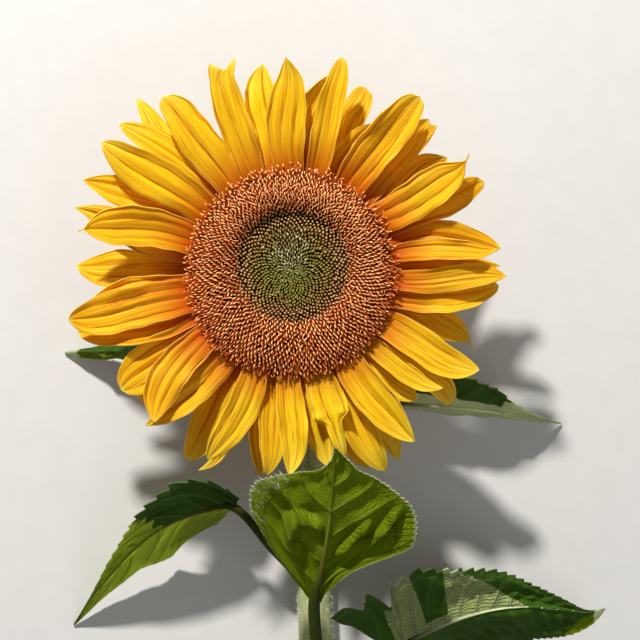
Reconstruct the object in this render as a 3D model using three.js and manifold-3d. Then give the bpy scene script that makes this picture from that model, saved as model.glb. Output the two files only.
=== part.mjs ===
// A cut sunflower: one open bloom on the top of its stem, with five leaves, lying on its back on a level
// surface. Millimetres, +Z up. The bloom faces +Z, and the stem runs away from it along -Y to a flat cut.
// While the plant is being built, the bloom's axis is the Z axis and the surface it lies on is Z = 0.

import * as THREE from "three";
import { mergeVertices } from "three/addons/utils/BufferGeometryUtils.js";
import Module from "manifold-3d";

const wasm = await Module();
wasm.setup();

// Driving dimensions
const GAP = 0.3; // between one solid and the piece that carries it
const FLORET_RADIUS = 61; // outer edge of the ring of open florets
const BUD_RADIUS = 33; // unopened florets in the middle
const BUD_HEIGHT = 8; // above the receptacle
const CREST_HEIGHT = 15.5; // the open florets' highest circle, above the receptacle
const RECEPTACLE_TOP = 88;
const RECEPTACLE_RIM = 14; // depth of the upright rim that the petals grow from
const RECEPTACLE_FOOT = 50; // underside, where the stem joins
const NECK_RADIUS = 12; // the stem's flare under the receptacle
const NECK_BEND = 30; // radius of the bend, on the stem's own line
const STEM_TOP_RADIUS = 9.6;
const STEM_CUT_RADIUS = 11.6;
const STEM_CUT_Y = -290;
const STEM_CUT_X = 16.6; // the stem lies a little askew
const STEM_BEND_X = 8;
const PETIOLE_FOOT_RADIUS = 3.6;
const PETIOLE_TIP_RADIUS = 2.4;

// Two rows of green bracts under the bloom. root is the distance of their feet from the bloom's axis,
// below is how far those lie under the rim, and turn is the row's offset as a share of the spacing.
const BRACT = { perRow: 14, halfWidth: 8, thickness: 1.2, edgeLift: 0.8 };
const BRACT_ROWS = [
  { root: 53, length: 31, below: 1, pitch: -6, turn: 0 },
  { root: 44, length: 34, below: 7.5, pitch: -12, turn: 0.5 },
];

// A petal's form: its width as a share at the root, and where it is full; the power of its blunt tip; how
// deep its channel is, as a share of its width; how far pitch and droop vary from petal to petal.
const PETAL = { thickness: 0.9, rootShare: 0.46, full: 0.5, tipPower: 2.6, cup: 0.09 };
const PETAL_VARIES = { pitch: 1.5, droop: 3.5, droopBy: 1.5 };
const LEAF = { thickness: 1.6, toothDepth: 0.07, stalkUnder: 0.3 }; // the stalk runs under 0.3 of the midrib

// Mesh fineness
const ROUND = 56; // sides of the bloom's round pieces
const STEM_SIDES = 16;
const STEM_STEPS = 10;
const NECK_STEPS = 8;
const PETIOLE_SIDES = 8;
const PETIOLE_STEPS = 9;
const PETAL_ROWS = 6;
const PETAL_STEPS = [-1, -0.5, 0, 0.5, 1]; // across a petal
const LEAF_ROWS = 20;
const LEAF_STEPS = [0, 0.36, 0.7, 1]; // from the midrib to the margin

// Three tiers of petals, from the viewer's side to the back. Each petal is the bearing of its root and of
// its tip in degrees anticlockwise from +X, its reach from the bloom's axis, and its width.
const TIERS = [
  {
    name: "front",
    height: 86.4,
    pitch: 13,
    petals: [
      [10, 5, 124, 12],
      [31, 30.3, 127, 22],
      [56, 54, 130, 22],
      [76, 76, 132, 15],
      [91, 92, 128, 21],
      [113.5, 109, 133, 17],
      [124.5, 125.5, 130, 21],
      [144, 146, 137, 23],
      [161.5, 168, 130, 22],
      [194, 192.5, 136, 23],
      [217, 227, 122, 20],
      [250, 246, 123, 18],
      [269, 270.5, 121, 16],
      [285, 286, 108, 20],
      [303, 305.5, 126, 20],
      [317, 321.5, 115, 12],
      [331, 331.5, 127, 19],
      [356, 358.5, 128, 14],
    ],
  },
  {
    name: "middle",
    height: 82.2,
    pitch: 5,
    petals: [
      [3, 1.5, 126, 11],
      [15, 6.5, 127, 19],
      [25.5, 26.5, 128, 16],
      [45.5, 49.5, 124, 17],
      [65, 61, 104, 16],
      [84, 78.5, 122, 18],
      [100, 95, 126, 19],
      [133, 139.5, 137, 17],
      [152, 156, 137, 20],
      [168.5, 162.5, 136, 18],
      [188, 187, 120, 18],
      [201, 196, 134, 19],
      [212.5, 213.5, 126, 20],
      [232, 227.5, 128, 19],
      [251, 247.5, 133, 8],
      [261, 264.5, 123, 16],
      [276.5, 281, 119, 16],
      [294, 294.5, 133, 18],
      [311, 315, 108, 15],
      [325, 322.5, 126, 16],
      [348, 354, 120, 18],
    ],
  },
  {
    name: "back",
    height: 78,
    pitch: -4,
    petals: [
      [38, 34.5, 117, 18],
      [50, 45, 126, 16],
      [70.5, 67, 121, 17],
      [137, 130.8, 139, 14],
      [179.5, 179.5, 131, 23],
      [219.5, 219.5, 121, 19],
      [240, 241.8, 131, 19],
      [258.5, 262, 125, 18],
      [287.5, 290, 128, 15],
      [300.5, 300.5, 132, 16],
      [343, 340, 120, 18],
    ],
  },
];

// Each leaf leaves the stem at a node, y along it and side degrees round it from +X. Its stalk passes
// rise and ends at base, where the blade starts. The midrib runs from there to tip, and bow is the
// control point of its bend. sweep is the angle from the midrib to the side veins, at the base and at the
// tip, and twist turns the blade. Its two halves are the left and the right one, seen from the base. Each
// leans along lean, is width wide where it is broadest, and bends up by lift. Its width starts as the
// share foot, is whole from rise to broad along the midrib, and narrows to the tip by the power fall.
const LEAVES = [
  {
    name: "leaf_front",
    node: { y: -268, side: 96 },
    rise: [15.5, -238, 40],
    base: [13.7, -202, 52],
    bow: [23, -152, 112],
    tip: [26.8, -105, 122],
    sweep: [58, 60],
    twist: 0,
    halves: [
      { lean: [-0.98, 0, -0.1], width: 57, foot: 0.06, rise: 0.4, broad: 0.42, fall: 1.3, lift: 0.12 },
      { lean: [0.99, 0, -0.08], width: 62, foot: 0.06, rise: 0.22, broad: 0.36, fall: 0.95, lift: -0.1 },
    ],
  },
  {
    name: "leaf_left",
    node: { y: -206, side: 148 },
    rise: [-16, -170, 35],
    base: [-34.8, -146, 46],
    bow: [-88, -141, 72],
    tip: [-140, -224, 1.3],
    sweep: [84, 58],
    twist: 0,
    halves: [
      { lean: [0.1, -0.35, -0.94], width: 46, foot: 0.55, rise: 0.35, broad: 0.42, fall: 0.85, lift: -0.1 },
      { lean: [0.1, 0.62, 0.66], width: 36, foot: 0.45, rise: 0.2, broad: 0.22, fall: 1.6, lift: 0.1 },
    ],
  },
  {
    name: "leaf_right",
    node: { y: -276, side: 14 },
    rise: [38, -262, 24],
    base: [64, -236, 36],
    bow: [128, -190, 62],
    tip: [197, -211, 22],
    sweep: [114, 58],
    twist: -24,
    halves: [
      { lean: [-0.1, 0.8, 0.6], width: 56, foot: 0.86, rise: 0.1, broad: 0.14, fall: 1.5, lift: -0.1 },
      { lean: [0.1, -0.62, -0.6], width: 42, foot: 0.86, rise: 0.2, broad: 0.4, fall: 0.6, lift: 0.1 },
    ],
  },
  {
    name: "leaf_back_right",
    node: { y: -102, side: 10 },
    rise: [34, -92, 17],
    base: [55, -81, 24],
    bow: [121, -83, 55],
    tip: [171.5, -95, 1.6],
    sweep: [85, 58],
    twist: 0,
    halves: [
      { lean: [0, 0.72, 0.69], width: 36, foot: 0.4, rise: 0.25, broad: 0.3, fall: 1.8, lift: 0 },
      { lean: [0, -0.12, -0.99], width: 30, foot: 0.4, rise: 0.3, broad: 0.3, fall: 0.85, lift: 0 },
    ],
  },
  {
    name: "leaf_back_left",
    node: { y: -84, side: 170 },
    rise: [-24, -74, 15],
    base: [-40, -66, 20],
    bow: [-72, -46, 70],
    tip: [-146, -50, 1.6],
    sweep: [85, 58],
    twist: 0,
    halves: [
      { lean: [0, -0.22, -0.98], width: 31, foot: 0.35, rise: 0.3, broad: 0.3, fall: 0.85, lift: 0 },
      { lean: [0, 0.24, -0.98], width: 31, foot: 0.35, rise: 0.3, broad: 0.3, fall: 0.85, lift: 0 },
    ],
  },
];

const rad = THREE.MathUtils.degToRad;
const lerp = THREE.MathUtils.lerp;
const up = new THREE.Vector3(0, 0, 1);
const point = (place) => new THREE.Vector3(...place);
const bearingOf = (degrees) => new THREE.Vector3(Math.cos(rad(degrees)), Math.sin(rad(degrees)), 0);

// A closed geometry from points and faces of point numbers.
function geometryOf(points, faces) {
  const geometry = new THREE.BufferGeometry().setFromPoints(points);
  geometry.setIndex(faces.flat());
  geometry.computeVertexNormals();
  return geometry;
}

// A geometry as a manifold-3d solid, and back.
function solidOf(geometry) {
  const bare = geometry.clone();
  bare.deleteAttribute("normal");
  bare.deleteAttribute("uv");
  const merged = mergeVertices(bare, 1e-3);
  return new wasm.Manifold(
    new wasm.Mesh({
      numProp: 3,
      vertProperties: merged.attributes.position.array,
      triVerts: new Uint32Array(merged.index.array),
    }),
  );
}

function joined(geometries) {
  const mesh = geometries
    .map(solidOf)
    .reduce((whole, piece) => whole.add(piece))
    .getMesh();
  const geometry = new THREE.BufferGeometry();
  geometry.setAttribute("position", new THREE.BufferAttribute(mesh.vertProperties, 3));
  geometry.setIndex(new THREE.BufferAttribute(mesh.triVerts, 1));
  geometry.computeVertexNormals();
  return geometry;
}

// A thin closed blade. middle[i][j] are the points of its middle surface, row by row from root to tip.
function bladeGeometry(middle, thickness) {
  const rows = middle.length;
  const across = middle[0].length;
  const at = (i, j) =>
    middle[THREE.MathUtils.clamp(i, 0, rows - 1)][THREE.MathUtils.clamp(j, 0, across - 1)];
  const top = [];
  const bottom = [];
  for (let i = 0; i < rows; i++)
    for (let j = 0; j < across; j++) {
      const along = at(i + 1, j).clone().sub(at(i - 1, j));
      const sideways = at(i, j + 1).clone().sub(at(i, j - 1));
      const normal = sideways.cross(along).normalize().multiplyScalar(thickness / 2);
      top.push(at(i, j).clone().add(normal));
      bottom.push(at(i, j).clone().sub(normal));
    }
  const under = rows * across;
  const faces = [];
  const quad = (a, b, c, d) => faces.push([a, b, c], [a, c, d]);
  for (let i = 0; i < rows - 1; i++)
    for (let j = 0; j < across - 1; j++) {
      const a = i * across + j;
      const b = a + 1;
      const c = b + across;
      const d = a + across;
      quad(a, b, c, d);
      quad(under + d, under + c, under + b, under + a);
    }
  const rim = [];
  for (let j = 0; j < across; j++) rim.push(j);
  for (let i = 1; i < rows; i++) rim.push(i * across + across - 1);
  for (let j = across - 2; j >= 0; j--) rim.push((rows - 1) * across + j);
  for (let i = rows - 2; i > 0; i--) rim.push(i * across);
  rim.forEach((a, k) => {
    const b = rim[(k + 1) % rim.length];
    quad(b, a, under + a, under + b);
  });
  return geometryOf([...top, ...bottom], faces);
}

// A closed round bar along centres, with a radius at each. Its ends are square to the given directions.
function taperedBar(centres, radii, sides, directions) {
  const points = [];
  let side = null;
  centres.forEach((centre, i) => {
    const forward = directions[i].clone().normalize();
    side ??= Math.abs(forward.z) > 0.9 ? new THREE.Vector3(1, 0, 0) : up.clone().negate();
    side = side.clone().sub(forward.clone().multiplyScalar(side.dot(forward))).normalize();
    const other = forward.clone().cross(side);
    for (let k = 0; k < sides; k++) {
      const turn = (2 * Math.PI * (k + 0.5)) / sides;
      points.push(
        centre
          .clone()
          .add(side.clone().multiplyScalar(radii[i] * Math.cos(turn)))
          .add(other.clone().multiplyScalar(radii[i] * Math.sin(turn))),
      );
    }
  });
  const faces = [];
  for (let i = 0; i < centres.length - 1; i++)
    for (let k = 0; k < sides; k++) {
      const a = i * sides + k;
      const b = i * sides + ((k + 1) % sides);
      faces.push([a, b, b + sides], [a, b + sides, a + sides]);
    }
  const last = (centres.length - 1) * sides;
  for (let k = 1; k < sides - 1; k++) {
    faces.push([0, k + 1, k]);
    faces.push([last, last + k, last + k + 1]);
  }
  return geometryOf(points, faces);
}

// The stem's straight run lies on the surface. This is its centre and radius at y.
function stemAt(y) {
  const share = (y - STEM_CUT_Y) / (-NECK_BEND - STEM_CUT_Y);
  const radius = lerp(STEM_CUT_RADIUS, STEM_TOP_RADIUS, share);
  const x = lerp(STEM_CUT_X, STEM_BEND_X, share);
  return { radius, centre: new THREE.Vector3(x, y, radius * Math.cos(Math.PI / STEM_SIDES)) };
}

// The stem thins towards the bloom and bends up into the neck.
function stemGeometry() {
  const centres = [];
  const radii = [];
  for (let i = 0; i <= STEM_STEPS; i++) {
    const { centre, radius } = stemAt(lerp(STEM_CUT_Y, -NECK_BEND, i / STEM_STEPS));
    centres.push(centre);
    radii.push(radius);
  }
  const start = centres.at(-1);
  for (let i = 1; i <= NECK_STEPS; i++) {
    const share = i / NECK_STEPS;
    const turn = (Math.PI / 2) * share;
    const x = start.x * (1 - THREE.MathUtils.smoothstep(share, 0, 1));
    const y = NECK_BEND * (Math.sin(turn) - 1);
    centres.push(new THREE.Vector3(x, y, start.z + NECK_BEND * (1 - Math.cos(turn))));
    radii.push(lerp(STEM_TOP_RADIUS, NECK_RADIUS * 0.88, share ** 2));
  }
  centres.push(new THREE.Vector3(0, 0, RECEPTACLE_FOOT - GAP));
  radii.push(NECK_RADIUS);
  const last = centres.length - 1;
  const directions = centres.map((_, i) =>
    centres[Math.min(i + 1, last)].clone().sub(centres[Math.max(i - 1, 0)]),
  );
  directions[0].set(0, 1, 0);
  directions[last].copy(up);
  return taperedBar(centres, radii, STEM_SIDES, directions);
}

// A round solid from its outline of [radius, height] points, turned about the bloom's axis.
function turned(outline) {
  const profile = outline.map(([radius, height]) => new THREE.Vector2(radius, height));
  const geometry = new THREE.LatheGeometry(profile, ROUND);
  geometry.rotateX(Math.PI / 2); // a lathe turns about Y
  return geometry;
}

// The receptacle is a shallow cone with an upright rim, and carries two rows of pointed green bracts.
function calyxGeometry() {
  const rimFoot = RECEPTACLE_TOP - RECEPTACLE_RIM;
  const body = turned([
    [0, RECEPTACLE_FOOT],
    [NECK_RADIUS, RECEPTACLE_FOOT],
    [NECK_RADIUS + 7, RECEPTACLE_FOOT + 4],
    [FLORET_RADIUS * 0.62, RECEPTACLE_FOOT + 12],
    [FLORET_RADIUS * 0.9, rimFoot - 4],
    [FLORET_RADIUS, rimFoot + 2],
    [FLORET_RADIUS, RECEPTACLE_TOP],
    [0, RECEPTACLE_TOP],
  ]);
  const bracts = BRACT_ROWS.flatMap((row) =>
    Array.from({ length: BRACT.perRow }, (_, k) =>
      bractGeometry(row, rimFoot - row.below, (360 * (k + row.turn)) / BRACT.perRow),
    ),
  );
  return joined([body, ...bracts]);
}

// One bract: widest a quarter of the way along, then drawn out to a point.
function bractGeometry({ root, length, pitch }, height, bearing) {
  const shares = [0.62, 1, 0.72, 0.32, 0.05];
  const outward = bearingOf(bearing);
  const sideways = outward.clone().cross(up);
  const middle = shares.map((share, i) => {
    const along = i / (shares.length - 1);
    const centre = outward.clone().multiplyScalar(root + length * along);
    centre.z = height + Math.sin(rad(pitch)) * length * along;
    return [-1, 0, 1].map((side) =>
      centre
        .clone()
        .add(sideways.clone().multiplyScalar(side * share * BRACT.halfWidth))
        .add(new THREE.Vector3(0, 0, Math.abs(side) * BRACT.edgeLift)),
    );
  });
  return bladeGeometry(middle, BRACT.thickness);
}

// The open florets stand in a raised ring with a rounded crest. The buds inside lie lower.
function openFloretGeometry() {
  const foot = RECEPTACLE_TOP + GAP;
  const crest = RECEPTACLE_TOP + CREST_HEIGHT;
  const inner = BUD_RADIUS + GAP;
  return turned([
    [inner, foot],
    [FLORET_RADIUS, foot],
    [FLORET_RADIUS + 1.6, foot + 5],
    [FLORET_RADIUS, crest - 4.5],
    [FLORET_RADIUS - 6, crest - 1],
    [FLORET_RADIUS - 14, crest],
    [inner + 5, crest - 2],
    [inner, crest - 6],
    [inner, foot],
  ]);
}

function budGeometry() {
  const foot = RECEPTACLE_TOP + GAP;
  const top = RECEPTACLE_TOP + BUD_HEIGHT;
  return turned([
    [0, foot],
    [BUD_RADIUS, foot],
    [BUD_RADIUS, top - 1],
    [BUD_RADIUS * 0.8, top],
    [BUD_RADIUS * 0.35, top + 0.4],
    [0, top - 0.6],
  ]);
}

// A petal's width at each share of its length: narrow at the root, full in the middle, blunt at the tip.
function petalShare(along) {
  const swell = Math.sin((Math.PI / 2) * Math.min(1, along / PETAL.full));
  const rise = lerp(PETAL.rootShare, 1, swell);
  const past = Math.max(0, (along - PETAL.full) / (1 - PETAL.full));
  return Math.max(0.08, rise * (1 - past ** PETAL.tipPower));
}

// A petal leaves the rim square to it, swings to the bearing of its tip, lifts by its tier's pitch and
// droops. Pitch and droop vary by a simple rule from one number to the next.
function petalGeometry([rootBearing, tipBearing, reach, width], tier, number) {
  const root = bearingOf(rootBearing);
  const start = root.clone().multiplyScalar(FLORET_RADIUS + GAP);
  const end = bearingOf(tipBearing).multiplyScalar(reach);
  const length = start.distanceTo(end);
  const bend = start.clone().add(root.clone().multiplyScalar(length / 2));
  const line = new THREE.QuadraticBezierCurve3(start, bend, end);
  const pitch = rad(tier.pitch + PETAL_VARIES.pitch * Math.sin(2.4 * number));
  const droop = PETAL_VARIES.droop + PETAL_VARIES.droopBy * Math.cos(1.7 * number);
  const middle = [];
  for (let i = 0; i <= PETAL_ROWS; i++) {
    const along = i / PETAL_ROWS;
    const centre = line.getPoint(along);
    centre.z = tier.height + length * Math.sin(pitch) * along - droop * along ** 3;
    const sideways = line.getTangent(along).cross(up).normalize();
    const half = (width / 2) * petalShare(along);
    const channel = PETAL.cup * width * Math.sin(Math.PI * along);
    middle.push(
      PETAL_STEPS.map((side) =>
        centre
          .clone()
          .add(sideways.clone().multiplyScalar(side * half))
          .add(new THREE.Vector3(0, 0, channel * side ** 2)),
      ),
    );
  }
  return bladeGeometry(middle, PETAL.thickness);
}

// A leaf half's reach from the midrib, as a share of its width.
function leafShare(along, { foot, rise, broad, fall }) {
  const risen = foot + (1 - foot) * Math.sin((Math.PI / 2) * Math.min(1, along / rise));
  const past = Math.max(0, (along - broad) / (1 - broad));
  return Math.max(0.012, risen * (1 - past) ** fall);
}

// A blade whose side veins sweep from the midrib to a toothed margin, fused to its stalk.
function leafGeometry({ node, rise, base, bow, tip, sweep, twist, halves }) {
  const midrib = new THREE.QuadraticBezierCurve3(point(base), point(bow), point(tip));
  const middle = [];
  for (let i = 0; i <= LEAF_ROWS; i++) {
    const along = i / LEAF_ROWS;
    const centre = midrib.getPoint(along);
    const forward = midrib.getTangent(along);
    const vein = rad(lerp(sweep[0], sweep[1], Math.sqrt(along)));
    const tooth = i % 2 ? 1 : 1 - LEAF.toothDepth;
    const [left, right] = halves.map((half, k) => {
      const lean = point(half.lean).applyAxisAngle(forward, rad(twist) * along);
      const outward = lean.sub(forward.clone().multiplyScalar(lean.dot(forward))).normalize();
      const raised = forward.clone().cross(outward).multiplyScalar(k ? 1 : -1);
      const reach = half.width * leafShare(along, half) * tooth;
      return LEAF_STEPS.map((step) =>
        centre
          .clone()
          .add(outward.clone().multiplyScalar(reach * step * Math.sin(vein)))
          .add(forward.clone().multiplyScalar(reach * step * Math.cos(vein)))
          .add(raised.clone().multiplyScalar(half.lift * reach * step ** 2)),
      );
    });
    middle.push([...left.reverse(), ...right.slice(1)]);
  }
  const blade = bladeGeometry(middle, LEAF.thickness);
  return joined([blade, stalkGeometry(node, point(rise), point(base), midrib)]);
}

// A leaf's stalk starts square to the stem's surface, ends at its blade, and runs on under the midrib.
function stalkGeometry(node, rise, base, midrib) {
  const { centre, radius } = stemAt(node.y);
  const outward = new THREE.Vector3(Math.cos(rad(node.side)), 0, Math.sin(rad(node.side)));
  const foot = centre.add(outward.clone().multiplyScalar(radius + GAP));
  const line = new THREE.CatmullRomCurve3([foot, rise, base, midrib.getPoint(LEAF.stalkUnder)]);
  const centres = [];
  const radii = [];
  const directions = [];
  for (let i = 0; i <= PETIOLE_STEPS; i++) {
    const along = i / PETIOLE_STEPS;
    centres.push(line.getPoint(along));
    radii.push(lerp(PETIOLE_FOOT_RADIUS, PETIOLE_TIP_RADIUS, along));
    directions.push(i === 0 ? outward : line.getTangent(along));
  }
  radii[PETIOLE_STEPS] /= 2;
  return taperedBar(centres, radii, PETIOLE_SIDES, directions);
}

const COLOURS = {
  stem: [0x8fa35c, 0.75],
  calyx: [0x5f7d35, 0.75],
  open_florets: [0xa8551f, 0.85],
  bud_florets: [0x6f7a35, 0.8],
  petal: [0xf6b21b, 0.6],
  leaf: [0x4f7a22, 0.65],
};

function piece(name, geometry, finish) {
  const [color, roughness] = COLOURS[finish];
  const mesh = new THREE.Mesh(
    geometry,
    new THREE.MeshStandardMaterial({ color, roughness, metalness: 0 }),
  );
  mesh.name = name;
  return mesh;
}

const plant = new THREE.Group();
plant.name = "cut_sunflower";
plant.add(piece("stem", stemGeometry(), "stem"));
plant.add(piece("calyx", calyxGeometry(), "calyx"));
plant.add(piece("open_floret_ring", openFloretGeometry(), "open_florets"));
plant.add(piece("bud_floret_centre", budGeometry(), "bud_florets"));
for (const tier of TIERS)
  tier.petals.forEach((petal, k) => {
    const name = `petal_${tier.name}_${String(k + 1).padStart(2, "0")}`;
    plant.add(piece(name, petalGeometry(petal, tier, k + 1), "petal"));
  });
for (const leaf of LEAVES) plant.add(piece(leaf.name, leafGeometry(leaf), "leaf"));

// The origin goes under the middle of the plant's outline, on the surface it lies on.
const outline = new THREE.Box3().setFromObject(plant);
const middle = outline.getCenter(new THREE.Vector3());
plant.position.set(-middle.x, -middle.y, -outline.min.z);

export default plant;
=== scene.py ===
# A cut sunflower lying on its back: one open bloom on the top of its stem, with five leaves.
# Every piece is worked out from named sizes, in millimetres, about the bloom's own axis.
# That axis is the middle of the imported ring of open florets, and the surface the plant lies on is Z = 0.

import math
from functools import partial

import bpy
import numpy as np
from bpy.props import FloatProperty, FloatVectorProperty, IntProperty, PointerProperty
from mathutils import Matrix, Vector


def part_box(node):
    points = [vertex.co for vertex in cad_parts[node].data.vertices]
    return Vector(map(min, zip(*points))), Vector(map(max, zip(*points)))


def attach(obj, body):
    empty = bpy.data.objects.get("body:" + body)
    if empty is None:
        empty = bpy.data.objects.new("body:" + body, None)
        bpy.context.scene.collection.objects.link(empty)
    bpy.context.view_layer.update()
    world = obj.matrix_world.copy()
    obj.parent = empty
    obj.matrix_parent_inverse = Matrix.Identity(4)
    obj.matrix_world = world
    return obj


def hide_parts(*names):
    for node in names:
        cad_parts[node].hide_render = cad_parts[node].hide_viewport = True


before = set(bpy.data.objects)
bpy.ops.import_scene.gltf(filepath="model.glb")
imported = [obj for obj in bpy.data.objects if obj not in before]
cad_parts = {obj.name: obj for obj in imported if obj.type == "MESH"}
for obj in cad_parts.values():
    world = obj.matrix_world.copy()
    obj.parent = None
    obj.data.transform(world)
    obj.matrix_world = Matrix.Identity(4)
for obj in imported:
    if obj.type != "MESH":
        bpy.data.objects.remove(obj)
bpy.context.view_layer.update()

bl_info = {
    "name": "Cut Sunflower",
    "version": (1, 0, 0),
    "blender": (4, 5, 0),
    "location": "3D View > Sidebar > Sunflower",
    "description": "Builds a cut sunflower with its petals, florets, leaves and stem",
    "category": "Add Mesh",
}

MM = 0.001
# Points closer than this, in mm, are joined where a shape is closed
MEETING_GAP = 0.02
# What each piece's random draws start from
SEEDS = {"stem": 5, "calyx": 8, "buds": 21, "florets": 34, "petals": 55, "leaves": 13}
RING_LOW, RING_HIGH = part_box("open_floret_ring")
BLOOM_AXIS = ((RING_LOW + RING_HIGH) / 2 * Vector((1, 1, 0))) / MM
# Florets stand in a spiral at the golden angle, and its radius grows by this power of their number. A half
# would space them evenly, and more crowds them in the middle.
GOLDEN_ANGLE = math.pi * (3 - math.sqrt(5))
CROWDING = 0.57

# The bloom's head, in mm. The pale chaff tips gather round a place beside the axis, where they stand for a
# painted highlight, and the rim of the buds is shifted aside. The floret bed and the receptacle are outlines
# of radius and height.
FLORET_RADIUS = 61
BUD_RADIUS = 33
CHAFF_RADIUS = 24
CHAFF_HIGHLIGHT_MIDDLE = (-1, 10)
BUD_SHIFT = (1.0, 3.6)
RECEPTACLE_FOOT = 50
NECK_RADIUS = 12
CREST = {  # tops of the florets: distance from the axis, height, lean outwards in degrees
    "radius": [0, 6, 14, 24, 31, 34, 38.3, 43, 48, 53, 57, 60.5, 63],
    "height": [94.2, 95.2, 96.2, 96.3, 95.2, 97.6, 102.0, 103.4, 102.7, 100.7, 97.9, 94.8, 91.2],
    "lean": [-4, -12, -16, -12, -8, -28, -14, 2, 18, 30, 42, 56, 68],
}
FLORET_BED = [
    [0, 88.2], [60.6, 88.2], [60.8, 89.6], [58.6, 92.4], [54.0, 95.4], [47.0, 97.8],
    [39.0, 96.8], [34.2, 93.2], [31.0, 92.0], [16.0, 92.8], [6.0, 91.6], [0, 90.4],
]
RECEPTACLE = [
    [0, 50.1], [12.0, 50.1], [15.5, 52.2], [20.0, 54.6], [37.8, 61.4], [50.0, 66.6], [56.6, 70.2],
    [60.0, 74.6], [60.9, 80.0], [60.8, 87.9], [0, 87.9],
]

# The stem's straight run lies on the surface and bends up into the neck. Its middle lies at a share of its
# radius, as its ridges sink in a little.
STEM_REST = 0.985
STEM_RIDGES = 11
STEM_STEPS = 40
BEND_STEPS = 14
NECK_BEND = 30
STEM_TOP_RADIUS = 9.6
STEM_CUT_RADIUS = 11.6
STEM_CUT_Y = -290
STEM_CUT_X = 16.6
STEM_BEND_X = 8

# Two rows of bracts under the bloom, and a bract's thickness and half its width in mm
BRACT_THICKNESS = 0.9
BRACT_HALF_WIDTH = 8
BRACTS_PER_ROW = 14
BRACT_ROWS = [
    {"root": 53, "length": 31, "height": 73.0, "pitch": -6, "turn": 0.0},
    {"root": 44, "length": 34, "height": 66.5, "pitch": -12, "turn": 0.5},
]

# Three tiers of petals, from the front to the back. Each petal is the bearing of its root and of its tip
# in degrees anticlockwise from +X, its reach from the bloom's axis, and its width.
TIERS = {
    "front": {
        "height": 86.4,
        "pitch": 13,
        "petals": [
            [10, 5, 124, 12], [31, 30.3, 127, 22], [56, 54, 130, 22], [76, 76, 132, 15],
            [90.5, 90.5, 128, 21], [111, 109, 133, 18], [124.5, 125.5, 130, 21], [144, 146, 137, 23],
            [161.5, 168, 130, 22], [194, 192.5, 136, 23], [217, 227, 122, 20], [250, 246, 123, 18],
            [269, 270.5, 121, 16], [285, 286, 117, 20], [303, 305.5, 126, 20], [317, 321.5, 115, 12],
            [331, 331.5, 127, 19], [356, 359.3, 129, 14],
        ],
    },
    "middle": {
        "height": 82.2,
        "pitch": 5,
        "petals": [
            [3, 1.5, 126, 11], [15, 6.5, 127, 19], [25.5, 26.5, 128, 16], [45.5, 49.5, 124, 17],
            [65, 61, 104, 16], [84, 78.5, 122, 18], [101, 98.5, 127, 19], [133, 139.5, 137, 17],
            [152, 156, 137, 20], [168.5, 162.5, 136, 18], [188, 187, 120, 18], [201, 196, 134, 19],
            [212.5, 214.5, 125, 26], [232, 227.5, 128, 19], [251, 247.5, 133, 8], [261, 264.5, 123, 16],
            [276.5, 281, 119, 16], [294, 294.5, 133, 18], [311, 315, 108, 15], [325, 322.5, 126, 16],
            [348, 357, 125, 20],
        ],
    },
    "back": {
        "height": 78,
        "pitch": -4,
        "petals": [
            [38, 36.5, 118, 22], [50, 45, 126, 16], [70.5, 67, 121, 17], [137, 130.8, 142, 14],
            [179.5, 179.5, 131, 23], [219.5, 219.5, 121, 19], [240, 241.8, 131, 19],
            [258.5, 262, 125, 18], [287.5, 290, 128, 15], [300.5, 300.5, 132, 16], [343, 340, 120, 18],
        ],
    },
}
# A petal's width at its root as a share of its full width, how far along it is full, and how far its edges
# rise as a share of the width
PETAL_ROOT_SHARE = 0.72
PETAL_FULL = 0.5
PETAL_CUP = 0.09
# How far along a petal its lift, hook and fork begin, and the flare of its end
PETAL_TIP_FROM = 0.8
PETAL_FLARE_FROM = 0.86
# How far petals droop in mm. Their lift and hook in mm, their twist in degrees, the number of waves in their
# edge and their bluntness vary between two values, and the number of their folds is one of five.
PETAL_DROOP = 3.5
PETAL_LIFTS = (-3, 5)
PETAL_HOOKS = (-3, 3)
PETAL_TWISTS = (-26, 26)
PETAL_WAVES = (1.2, 2.6)
PETAL_BLUNTNESS = (0.7, 1.1)
PETAL_FOLDS = (2.0, 2.5, 3.0, 3.5, 4.0)
# Painted shade: petals near this bearing and opposite it lie across the light and are the most orange
PAINTED_SHADE_BEARING = 15
# Petals whose tips differ: sideways hook, lift and outward flare in mm, and as shares the length of a thin
# end, the depth of a fork, the width left at the end and the place past which it is torn to a strip. The
# lower blunt is, the rounder the end.
TIPS = {
    "front_02": {"hook": -7, "lift": 6, "thin": 0.06},
    "front_03": {"hook": 1, "lift": 2, "blunt": 0.45},
    "front_04": {"hook": -1, "lift": 2, "blunt": 0.55},
    "front_06": {"fork": 0.085, "end": 0.34, "flare": 4.5},
    "front_07": {"hook": -2, "lift": 1, "blunt": 0.5},
    "front_08": {"hook": 1, "lift": -2, "blunt": 0.7},
    "front_09": {"hook": -3, "lift": 3, "thin": 0.06},
    "front_11": {"lift": 5, "blunt": 0.9},
    "front_14": {"lift": -3, "blunt": 0.6, "torn": 0.52},
    "middle_03": {"hook": 3, "lift": 6, "blunt": 0.5},
    "middle_13": {"hook": 0, "lift": -1, "blunt": 0.5},
    "middle_15": {"hook": 6, "lift": 3, "blunt": 0.8},
    "middle_20": {"hook": 3, "lift": -3, "blunt": 0.4},
    "back_03": {"lift": 4, "blunt": 0.3},
    "back_06": {"blunt": 0.35},
    "back_07": {"hook": 2, "lift": 0, "blunt": 0.5},
    "back_11": {"hook": 5, "thin": 0.05},
}

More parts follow.
